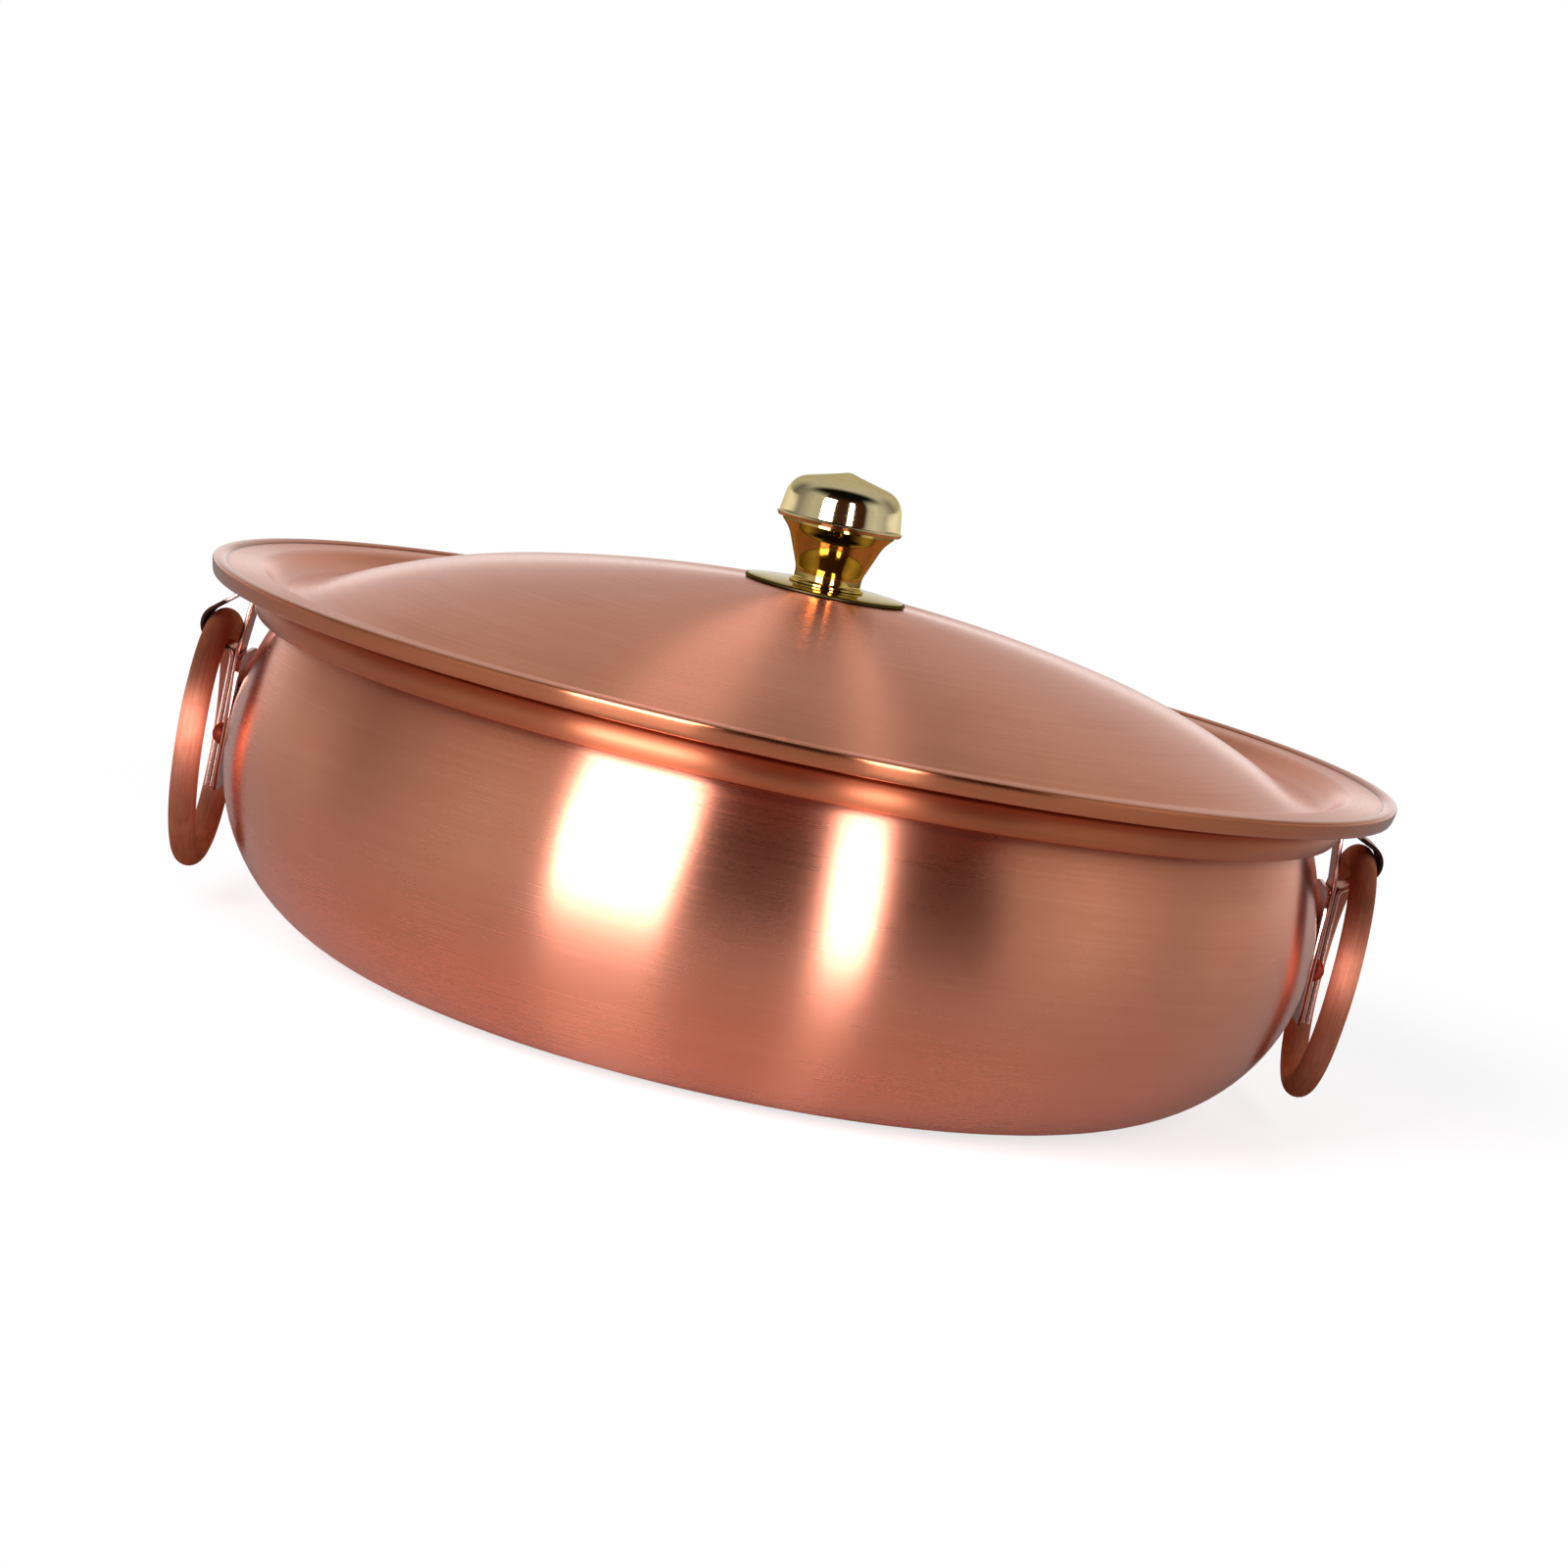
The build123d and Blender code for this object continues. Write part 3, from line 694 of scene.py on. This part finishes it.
# Polished metals: colour, deep colour, colour at a slant, roughness and its spread, scale of the patches,
# depth of the ridges
STRAP_COPPER = ((0.86, 0.60, 0.50), (0.78, 0.50, 0.40), (0.55, 0.36, 0.30), 0.16, 0.08, 60.0, 4e-6)
YELLOW_BRASS = ((0.78, 0.56, 0.16), (0.66, 0.42, 0.10), (0.62, 0.56, 0.36), 0.05, 0.05, 80.0, 3e-6)
POLISHED_METALS = {
    "left_strap_copper": STRAP_COPPER,
    "right_strap_copper": STRAP_COPPER,
    "plate_copper": ((0.88, 0.52, 0.40), (0.78, 0.42, 0.31), (0.55, 0.36, 0.30), 0.06, 0.05, 60.0, 4e-6),
    "rivet_copper": ((0.62, 0.10, 0.06), (0.45, 0.06, 0.03), (0.6, 0.2, 0.15), 0.30, 0.15, 160.0, 1.5e-5),
    "polished_brass": YELLOW_BRASS,
    "rose_brass": YELLOW_BRASS,
    "pale_brass": ((0.86, 0.73, 0.43), (0.77, 0.62, 0.31), (0.75, 0.68, 0.48), 0.04, 0.05, 80.0, 2e-6),
    "steel_wire": ((0.55, 0.54, 0.52), (0.42, 0.41, 0.39), (0.8, 0.8, 0.8), 0.30, 0.15, 150.0, 1e-5),
    "steel_screw": ((0.66, 0.65, 0.63), (0.50, 0.49, 0.47), (0.8, 0.8, 0.8), 0.20, 0.15, 200.0, 1e-5),
}
# Colours of the painted shade on the straps and on the rose's rim
STRAP_SHADE_COLOUR = (0.020, 0.008, 0.005)
ROSE_SHADE_COLOUR = (0.07, 0.055, 0.02)

pot_copper = brushed_metal("pot_copper", *BRUSHED_COPPER, RIM_PAINTED_SHADE, ROLLED_RIM)
lid_copper = brushed_metal("lid_copper", *BRUSHED_COPPER, HEM_PAINTED_SHADE, ROLLED_HEM)
steel_lining = brushed_metal("steel_lining", *BRUSHED_STEEL)
ring_copper = rod_metal("ring_copper", *ROD_COPPER)
polished = {name: polished_metal(name, *looks) for name, looks in POLISHED_METALS.items()}
# Painted shade on the rose's rim, on the straps' edges by the eye and inside the eyes
add_painted_shade(polished["rose_brass"], ROSE_SHADE_COLOUR, rose_edge)
for strap_side, eye_drop in EYE_DROP.items():
    add_painted_shade(polished[f"{strap_side}_strap_copper"], STRAP_SHADE_COLOUR, strap_edges(RIM_HEIGHT - eye_drop))


# Pot
throat_foot = rim_centre + toward(180 - THROAT_LEAN) * RIM_SEAT - toward(90 - THROAT_LEAN) * THROAT_RUN
neck_centre = throat_foot + toward(-THROAT_LEAN) * NECK_BEND_RADIUS
neck_gap = neck_centre - (BELLY_RADIUS, CORNER_RADIUS)
shoulder_radius = (neck_gap @ neck_gap - NECK_BEND_RADIUS**2) / (2 * (NECK_BEND_RADIUS - neck_gap[0]))
shoulder_turn = np.degrees(np.arctan2(neck_gap[1], neck_gap[0] + shoulder_radius))
belly_steps = [
    run(BELLY_RADIUS - CORNER_RADIUS),
    bend(CORNER_RADIUS, 90),
    bend(shoulder_radius, shoulder_turn),
    bend(NECK_BEND_RADIUS, -shoulder_turn - THROAT_LEAN),
]


def sheet_section(start, heading, steps, near, far):
    """Outline of a bent sheet between two parallels of a path, from the axis round and back."""
    return np.concatenate([trace(start, heading, steps, near), trace(start, heading, steps, far)[::-1]])


def add_pot():
    """Copper bowl with a rolled rim, and its steel lining."""
    wall_steps = belly_steps + [run(THROAT_RUN), bend(RIM_SEAT, -RIM_CURL)]
    shell = sheet_section((0, 0), 0, wall_steps, 0, POT_SHEET)
    add_piece("copper_bowl", [lathe(shell)], "pot", "pot_shell", pot_copper)
    lining_steps = belly_steps + [run(THROAT_RUN - LINING_DROP)]
    outside = POT_SHEET + FIT
    lining = sheet_section((0, 0), 0, lining_steps, outside, outside + LINING_SHEET)
    add_piece("bowl_lining", [lathe(lining)], "pot", "pot_liner", steel_lining)


# Lid
outer_dome_steps = [
    bend(DOME_SHOULDER_RADIUS, DOME_CROWN_ANGLE - DOME_FOOT_SLOPE),
    bend(DOME_FOOT_RADIUS, DOME_FOOT_SLOPE),
]
crown_edge = gutter_radius - reach(-DOME_CROWN_ANGLE, outer_dome_steps)[0]
crown_radius = crown_edge / np.sin(np.radians(DOME_CROWN_ANGLE))


def pressed_hem():
    """Outside of the hem: a circle whose outer half is made squarer and leans in below.

    Over the outer half the sine and cosine are raised to a power below one, and the distance out shrinks
    with the depth below the top.
    """
    angles = np.radians(hem_crease_angle - np.linspace(0, HEM_CURL, int(HEM_CURL / STEP_ANGLE) + 1))
    out, up = np.cos(angles), np.sin(angles)
    squarer_up = np.sign(up) * np.abs(up) ** HEM_PRESS
    squarer_out = np.maximum(out, 0) ** HEM_PRESS * (1 - np.tan(np.radians(HEM_LEAN)) * (1 - squarer_up))
    outer = out > 0
    return hem_centre + HEM_BEAD * np.stack(
        [np.where(outer, squarer_out, out), np.where(outer, squarer_up, up)], axis=-1)


def add_lid():
    """Domed copper lid: crown, shoulder, foot, gutter, brim and rolled hem, with the screw's hole."""
    gutter_bends = [
        bend(GUTTER_BEND_RADIUS, GUTTER_WALL_SLOPE),
        bend(BRIM_BEND_RADIUS, -GUTTER_WALL_SLOPE),
    ]
    wall_run = (BRIM_RISE - reach(0, gutter_bends)[1]) / np.sin(np.radians(GUTTER_WALL_SLOPE))
    steps = [bend(crown_radius, -DOME_CROWN_ANGLE)] + outer_dome_steps
    steps += [gutter_bends[0], run(wall_run), gutter_bends[1]]
    under_angle = 180 - np.degrees(np.arcsin((brim_height - LID_SHEET - hem_centre[1]) / HEM_SEAT))
    end_angle = hem_crease_angle - HEM_CURL
    section = np.concatenate([
        trace((0, LID_TOP), 0, steps),
        pressed_hem(),
        arc(hem_centre, HEM_SEAT, end_angle, under_angle - end_angle),
        trace((0, LID_TOP), 0, steps, -LID_SHEET)[::-1],
    ])
    section[:, 0] = np.maximum(section[:, 0], SCREW_HOLE_RADIUS)
    add_piece("copper_lid", [lathe(section)], "lid", "lid_shell", lid_copper, True)


# Knob
def add_knob():
    """Brass rose, neck and cap, one above the other on the lid's crown."""
    rose_turn = -np.degrees(np.arcsin(ROSE_RADIUS / crown_radius))
    under, over = (
        trace((0, LID_TOP), 0, [bend(crown_radius, rose_turn)], offset)
        for offset in (FIT, FIT + ROSE_SHEET)
    )
    rim = over[-1] + (0, -ROSE_SHEET / 2) + toward(np.linspace(80, -90, ROUND_POINTS)) * (ROSE_SHEET / 2)
    rose = np.concatenate([over[:-1], rim, under[::-1]])
    rose[:, 0] = np.maximum(rose[:, 0], SCREW_HOLE_RADIUS)
    add_piece("knob_plate", [lathe(rose)], "lid", "knob_rose", polished["rose_brass"], True)

    base = LID_TOP + ROSE_SHEET + 2 * FIT
    stem_steps = [
        run(NECK_FOOT_RADIUS - STEM_RADIUS - NECK_FOOT_FILLET),
        bend(NECK_FOOT_FILLET, -90),
        run(STEM_RUN),
        bend(STEM_BEND_RADIUS, -STEM_LEAN),
        run(STEM_CONE_RUN),
        bend(FLARE_BEND_RADIUS, STEM_LEAN - FLARE_LEAN),
    ]
    flare_out = FLANGE_RADIUS - NECK_FOOT_RADIUS - reach(180, stem_steps)[0]
    flare_run = flare_out / np.sin(np.radians(FLARE_LEAN))
    stem = trace((NECK_FOOT_RADIUS, base + NECK_FOOT_HEIGHT), 180, stem_steps + [run(flare_run)])
    flange_top = stem[-1, 1] + FLANGE_HEIGHT
    neck = np.concatenate([
        [(0, base + THREAD_DEPTH), (SCREW_HOLE_RADIUS, base + THREAD_DEPTH), (SCREW_HOLE_RADIUS, base)],
        [(NECK_FOOT_RADIUS, base)],
        stem,
        [(FLANGE_RADIUS, flange_top), (0, flange_top)],
    ])
    add_piece("knob_stem", [lathe(neck)], "lid", "knob_neck", polished["polished_brass"])

    cap_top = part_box("knob_head")[1].z / MM
    point_steps = [
        bend(CAP_POINT_RADIUS, -CAP_POINT_SLOPE),
        bend(CAP_OGEE_RADIUS, CAP_POINT_SLOPE - CAP_TOP_SLOPE),
    ]
    edge_step = bend(CAP_EDGE_RADIUS, CAP_TOP_SLOPE + CAP_SIDE_LEAN - 90)
    lip_steps = [bend(LIP_BEND_RADIUS, 90 - CAP_SIDE_LEAN - LIP_SLOPE), run(LIP_RUN)]
    slope_run = (CAP_RADIUS - reach(0, point_steps + [edge_step])[0]) / np.cos(np.radians(CAP_TOP_SLOPE))
    top_steps = point_steps + [run(slope_run), edge_step]
    lip_drop = reach(CAP_SIDE_LEAN - 90, lip_steps)[1] - CAP_SHEET * np.cos(np.radians(LIP_SLOPE))
    side_run = (CAP_HEIGHT + reach(0, top_steps)[1] + lip_drop) / np.cos(np.radians(CAP_SIDE_LEAN))
    cap = sheet_section((0, cap_top), 0, top_steps + [run(side_run)] + lip_steps, 0, -CAP_SHEET)
    add_piece("knob_cap", [lathe(cap)], "lid", "knob_head", polished["pale_brass"])


# Handles
rivet_height = CORNER_RADIUS - RIVET_DROP
rivet_swing = np.degrees(np.arcsin(RIVET_SPACING / 2 / BELLY_RADIUS))
RING_STEPS = 160                # points round a ring, round its rod and round a rivet
ROD_STEPS = 28
RIVET_STEPS = 40


def ring_grid(side, drop):
    """Ring bent from a rod: a circle of the rod's radius carried round a larger circle.

    The rod's radius swells and shrinks a little along the way, as slow waves of the angle round the ring.
    """
    middle = np.array([eye_reach, RIM_HEIGHT - drop]) + toward(-90 - RING_LEAN) * (RING_RADIUS - rod_drop / 2)
    a = np.linspace(0, 2 * np.pi, RING_STEPS, endpoint=False)[:, None]
    b = np.linspace(0, 2 * np.pi, ROD_STEPS, endpoint=False)
    dips = (share * (1 - np.sin(waves * a + shift * side)) for share, waves, shift in ROD_WAVES)
    rod = ROD_RADIUS * (1 - sum(dips))
    out = RING_RADIUS + rod * np.cos(b)
    aside, up, through = out * np.sin(a), -out * np.cos(a), rod * np.sin(b)
    lean = toward(-RING_LEAN)
    x = middle[0] + through * lean[0] - up * lean[1]
    z = middle[1] + through * lean[1] + up * lean[0]
    return np.stack([side * x, aside, z], axis=-1)


def strap_grid(side, drop):
    """Flat strap folded round the ring: a rounded rectangle carried along the middle of the bent sheet."""
    eye = (eye_reach, RIM_HEIGHT - drop)
    fold = ((strap_back + strap_front) / 2 - STRAP_TOP_INSET, RIM_HEIGHT - STRAP_TOP_DROP)
    lower = (strap_back - STRAP_BEND_RADIUS, RIM_HEIGHT - STRAP_BEND_DROP)
    back_bend = (strap_front + RETURN_BEND_RADIUS, RIM_HEIGHT - RETURN_DROP)
    fold_outside = STRAP_TOP_RADIUS + STRAP_SHEET
    eye_outside = eye_inside + STRAP_SHEET
    rise, rise_run = tangent_run(lower, STRAP_BEND_RADIUS, fold, -fold_outside)
    fall, fall_run = tangent_run(fold, -fold_outside, eye, -eye_outside)
    back, back_run = tangent_run(eye, -eye_outside, back_bend, RETURN_BEND_RADIUS)
    back -= 360 if back > fall else 0
    steps = [
        run(lower[1] - STRAP_FOOT),
        bend(STRAP_BEND_RADIUS, rise - 90),
        run(rise_run),
        bend(fold_outside, fall - rise),
        run(fall_run),
        bend(eye_outside, back - fall),
        run(back_run),
        bend(RETURN_BEND_RADIUS, -90 - back),
        run(back_bend[1] - STRAP_FOOT),
    ]
    near, far = (trace((strap_back, STRAP_FOOT), 90, steps, offset) for offset in (0, -STRAP_SHEET))
    middle, normal = (near + far) / 2, (far - near) / STRAP_SHEET
    outline = rounded_rectangle(STRAP_WIDTH, STRAP_SHEET, STRAP_EDGE, spacing=STRAP_WIDTH / 6)
    rows = np.concatenate([[0], np.arange(len(middle)), [len(middle) - 1]])
    shapes = np.stack([outline] * len(rows))
    shapes[0], shapes[-1] = outline * 0, outline * 0
    along = middle[rows][:, None, :] + normal[rows][:, None, :] * shapes[:, :, 1:]
    return np.stack([side * along[..., 0], shapes[..., 0], along[..., 1]], axis=-1)


def plate_grid(side):
    """Bracket plate: rounded rectangles, set in from its outline and wrapped on cylinders round the axis."""
    height = RIM_HEIGHT - STRAP_BEND_DROP - STRAP_FOOT
    corner = STRAP_EDGE * (1 - toward(np.array([0, 30, 60, 90])))
    insets = [(inset, plate_front) for inset in PLATE_FRONT_LOOPS]
    insets += [(inset, plate_front - back) for back, inset in corner]
    insets += [(inset, plate_back) for inset in PLATE_BACK_LOOPS]
    loops = []
    for inset, radius in insets:
        rounding = max(PLATE_CORNER - inset, LEAST_ROUNDING)
        loop = rounded_rectangle(PLATE_WIDTH - 2 * inset, height - 2 * inset, rounding)
        loops.append(np.stack([
            side * np.sqrt(radius**2 - loop[:, 0] ** 2), loop[:, 0], loop[:, 1] + STRAP_FOOT + height / 2,
        ], axis=-1))
    loops.insert(0, loops[0].mean(axis=0) + 0 * loops[0])
    loops.append(loops[-1].mean(axis=0) + 0 * loops[-1])
    return np.stack(loops)


def along_rivet(section, side, swing):
    """Turn a section about a rivet's own axis, which points outwards from the pot's axis."""
    b = np.linspace(0, 2 * np.pi, RIVET_STEPS, endpoint=False)
    out = np.array([side * np.cos(np.radians(swing)), np.sin(np.radians(swing)), 0])
    aside = np.array([-out[1], out[0], 0])
    distance, radius = section[:, None, :1], section[:, None, 1:]
    ring = np.cos(b)[:, None] * aside + np.sin(b)[:, None] * np.array([0, 0, 1])
    return distance * out + radius * ring + np.array([0, 0, rivet_height])


def dome(base, height, radius):
    """Rounded head over a flat base: the arc of the circle through its top and its edge, from edge to top."""
    curve = (radius**2 + height**2) / (2 * abs(height))
    turn = np.degrees(np.arcsin(min(radius / curve, 1)))
    way = np.sign(height)
    centre = base + height - way * curve
    return (centre, 0) + curve * toward(np.linspace(turn, 0, ROUND_POINTS)) * (way, 1)


def add_handle(name, side):
    """Ring, folded strap, plate, two rivets and their inner washers of one side."""
    drop = EYE_DROP[name]
    add_piece(f"{name}_handle_ring", [ring_grid(side, drop)], f"{name}_ring", f"{name}_ring",
              ring_copper, True)
    add_piece(f"{name}_folded_strap", [strap_grid(side, drop)], "pot", f"{name}_ring_strap",
              polished[f"{name}_strap_copper"])
    add_piece(f"{name}_plate", [plate_grid(side)], "pot", f"{name}_bracket_plate",
              polished["plate_copper"])
    lining_corner = CORNER_RADIUS - POT_SHEET - FIT - LINING_SHEET
    burr_sag = lining_corner - np.sqrt(lining_corner**2 - (BURR_RADIUS + RIVET_DROP) ** 2)
    burr_front = BELLY_RADIUS - POT_SHEET - FIT - LINING_SHEET - burr_sag - FIT
    burr_back = burr_front - BURR_SHEET
    tail_base = burr_back - FIT
    head = dome(plate_front + FIT, RIVET_HEAD_HEIGHT - FIT, RIVET_HEAD_RADIUS)
    tail = dome(tail_base, -TAIL_HEIGHT, RIVET_HEAD_RADIUS)
    rivet = np.concatenate([
        tail[::-1], [(tail_base, RIVET_RADIUS), (plate_front + FIT, RIVET_RADIUS)], head,
    ])
    hole, edge = RIVET_RADIUS + FIT, BURR_EDGE
    burr = np.array([
        (burr_front, hole), (burr_front, BURR_RADIUS - edge), (burr_front - edge, BURR_RADIUS),
        (burr_back + edge, BURR_RADIUS), (burr_back, BURR_RADIUS - edge), (burr_back, hole),
    ])
    swings = (-rivet_swing, rivet_swing)
    add_piece(f"{name}_rivet_pair", [along_rivet(rivet, side, swing) for swing in swings], "pot",
              f"{name}_rivets", polished["rivet_copper"])
    add_piece(f"{name}_burr_pair", [along_rivet(burr, side, swing) for swing in swings], "pot",
              f"{name}_rivet_burrs", polished["rivet_copper"], True)


def dress_frame_nodes():
    """The wires in the rolled edges, the washer and the screw keep their own shape and get their metal."""
    for node, material in (
        ("rim_wire", "steel_wire"), ("lid_hem_wire", "steel_wire"),
        ("lid_washer", "steel_screw"), ("knob_screw", "steel_screw"),
    ):
        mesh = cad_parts[node].data
        mesh.materials.clear()
        mesh.materials.append(polished[material])


# Studio
FLOOR_FRONT = 0.42              # the floor ends this far in front of the pot's axis
FLOOR_REACH = 4.0               # and this far at its other sides
FLOOR_COLOUR = 0.60
FLOOR_GLOW = 0.70
FLOOR_FADE = (0.24, 0.42)       # distances from the axis between which the floor turns plain white

# Brightness of the room by bearing: 0 is towards the camera, positive towards the right handle
ROOM_BEARINGS = [
    (-180, 0.62), (-150, 0.60), (-120, 0.16), (-93, 0.28), (-60, 0.57), (-44, 0.53), (-40, 0.0),
    (46, 0.0), (54, 0.50), (70, 0.68), (95, 0.46), (120, 0.24), (150, 0.60), (180, 0.62),
]
ROOM_SHADE = (0.050, 0.018, 0.008)   # what the room's darkest stretch gives
ROOM_WALL_TOP = (30, 60)        # elevations between which the walls turn into the ceiling
CEILING_GREYS = (0.004, 0.53)   # over the camera and over the far side
CEILING_TURN = (-0.10, 0.30)    # how far towards the far side the ceiling turns from one to the other
BACKDROP_TOP = (4, 12)          # elevations between which the white backdrop turns into the room
BACKDROP_SIDE = (90, 110)       # bearings between which it does so at both sides
SMOOTH = {"interpolation_type": "SMOOTHSTEP"}

BOX_COLOUR = (1.0, 0.96, 1.08)
SOFT_BOXES = [
    # name, bearing, elevation, distance, width, height, power
    ("left_box", -28, 14, 1.6, 0.66, 1.25, 28),
    ("right_box", 18, 14, 1.8, 0.28, 1.40, 14),
]


def add_floor():
    """Flat pale floor that the camera sees as white, and that keeps a faint shadow near the pot."""
    far, front = FLOOR_REACH, FLOOR_FRONT
    corners = np.array([(-far, -front, 0), (far, -front, 0), (far, far, 0), (-far, far, 0)])
    mesh = bpy.data.meshes.new("floor")
    mesh.from_pydata(corners, [], [(0, 1, 2, 3)])
    floor = bpy.data.objects.new("floor", mesh)
    bpy.context.scene.collection.objects.link(floor)
    material = bpy.data.materials.new("white_floor")
    material.use_nodes = True
    tree = material.node_tree
    tree.nodes.clear()
    add = node_adder(tree)
    diffuse = add("ShaderNodeBsdfDiffuse", {"Color": (*[FLOOR_COLOUR] * 3, 1)}).outputs[0]
    glow = add("ShaderNodeEmission", {"Strength": FLOOR_GLOW}).outputs[0]
    lit = add("ShaderNodeAddShader", {0: diffuse, 1: glow}).outputs[0]
    white = add("ShaderNodeEmission", {"Strength": 1.0}).outputs[0]
    place = add("ShaderNodeTexCoord").outputs["Object"]
    far = between(add, length_of(add, place), FLOOR_FADE, **SMOOTH)
    shown = add("ShaderNodeMixShader", {0: far, 1: lit, 2: white}).outputs[0]
    seen = add("ShaderNodeLightPath").outputs["Is Camera Ray"]
    surface = add("ShaderNodeMixShader", {0: seen, 1: diffuse, 2: shown}).outputs[0]
    add("ShaderNodeOutputMaterial", {0: surface})
    mesh.materials.append(material)


def add_world():
    """White backdrop behind the object, grey walls elsewhere and a ceiling that is dark over the camera."""
    world = bpy.data.worlds.new("studio")
    bpy.context.scene.world = world
    world.use_nodes = True
    tree = world.node_tree
    tree.nodes.clear()
    add = node_adder(tree)
    way = split(add, add("ShaderNodeTexCoord").outputs["Generated"])
    bearing = math(add, "ARCTAN2", way[0], math(add, "MULTIPLY", way[1], -1.0))
    ramp = add("ShaderNodeValToRGB", {0: between(add, bearing, (-np.pi, np.pi))})
    elements = ramp.color_ramp.elements
    while len(elements) < len(ROOM_BEARINGS):
        elements.new(0.5)
    for element, (degrees_round, grey) in zip(elements, ROOM_BEARINGS):
        element.position = (degrees_round + 180) / 360
        element.color = (*[max(grey, shade) for shade in ROOM_SHADE], 1)
    above = between(add, way[2], np.sin(np.radians(ROOM_WALL_TOP)), **SMOOTH)
    far_side = between(add, way[1], CEILING_TURN, **SMOOTH)
    ceiling = blend_colour(add, far_side, *([grey] * 3 for grey in CEILING_GREYS))
    room = blend_colour(add, above, ramp.outputs[0], ceiling)
    room = add("ShaderNodeBackground", {"Color": room}).outputs[0]
    white = add("ShaderNodeBackground", {"Color": (1, 1, 1, 1)}).outputs[0]
    high = between(add, way[2], np.sin(np.radians(BACKDROP_TOP)), **SMOOTH)
    low = math(add, "SUBTRACT", 1.0, high)
    behind = between(add, math(add, "ABSOLUTE", bearing), np.radians(BACKDROP_SIDE), **SMOOTH)
    path = add("ShaderNodeLightPath").outputs
    mirrored = math(add, "MAXIMUM", path["Is Glossy Ray"], path["Is Transmission Ray"])
    backdrop = math(add, "MULTIPLY", math(add, "MULTIPLY", low, behind), mirrored)
    seen = math(add, "MAXIMUM", path["Is Camera Ray"], backdrop)
    surface = add("ShaderNodeMixShader", {0: seen, 1: room, 2: white}).outputs[0]
    add("ShaderNodeOutputWorld", {0: surface})


def add_soft_boxes():
    """Rectangular lamps that look at the middle of the pot."""
    for name, bearing, elevation, distance, width, height, power in SOFT_BOXES:
        b, e = np.radians(bearing), np.radians(elevation)
        way = np.array([np.sin(b) * np.cos(e), -np.cos(b) * np.cos(e), np.sin(e)])
        data = bpy.data.lights.new(name, "AREA")
        data.shape = "RECTANGLE"
        data.size, data.size_y = width, height
        data.energy = power
        data.color = BOX_COLOUR
        lamp = bpy.data.objects.new(name, data)
        bpy.context.scene.collection.objects.link(lamp)
        place = Matrix.Translation(distance * way + (0, 0, RIM_HEIGHT / 2 * MM))
        turn = Matrix.Rotation(b, 4, "Z") @ Matrix.Rotation(np.radians(90 - elevation), 4, "X")
        lamp.matrix_world = place @ turn


add_camera()
add_pot()
add_lid()
add_knob()
for handle_name, handle_side in SIDES.items():
    add_handle(handle_name, handle_side)
dress_frame_nodes()
add_floor()
add_world()
add_soft_boxes()
bpy.context.scene.view_settings.view_transform = "Standard"
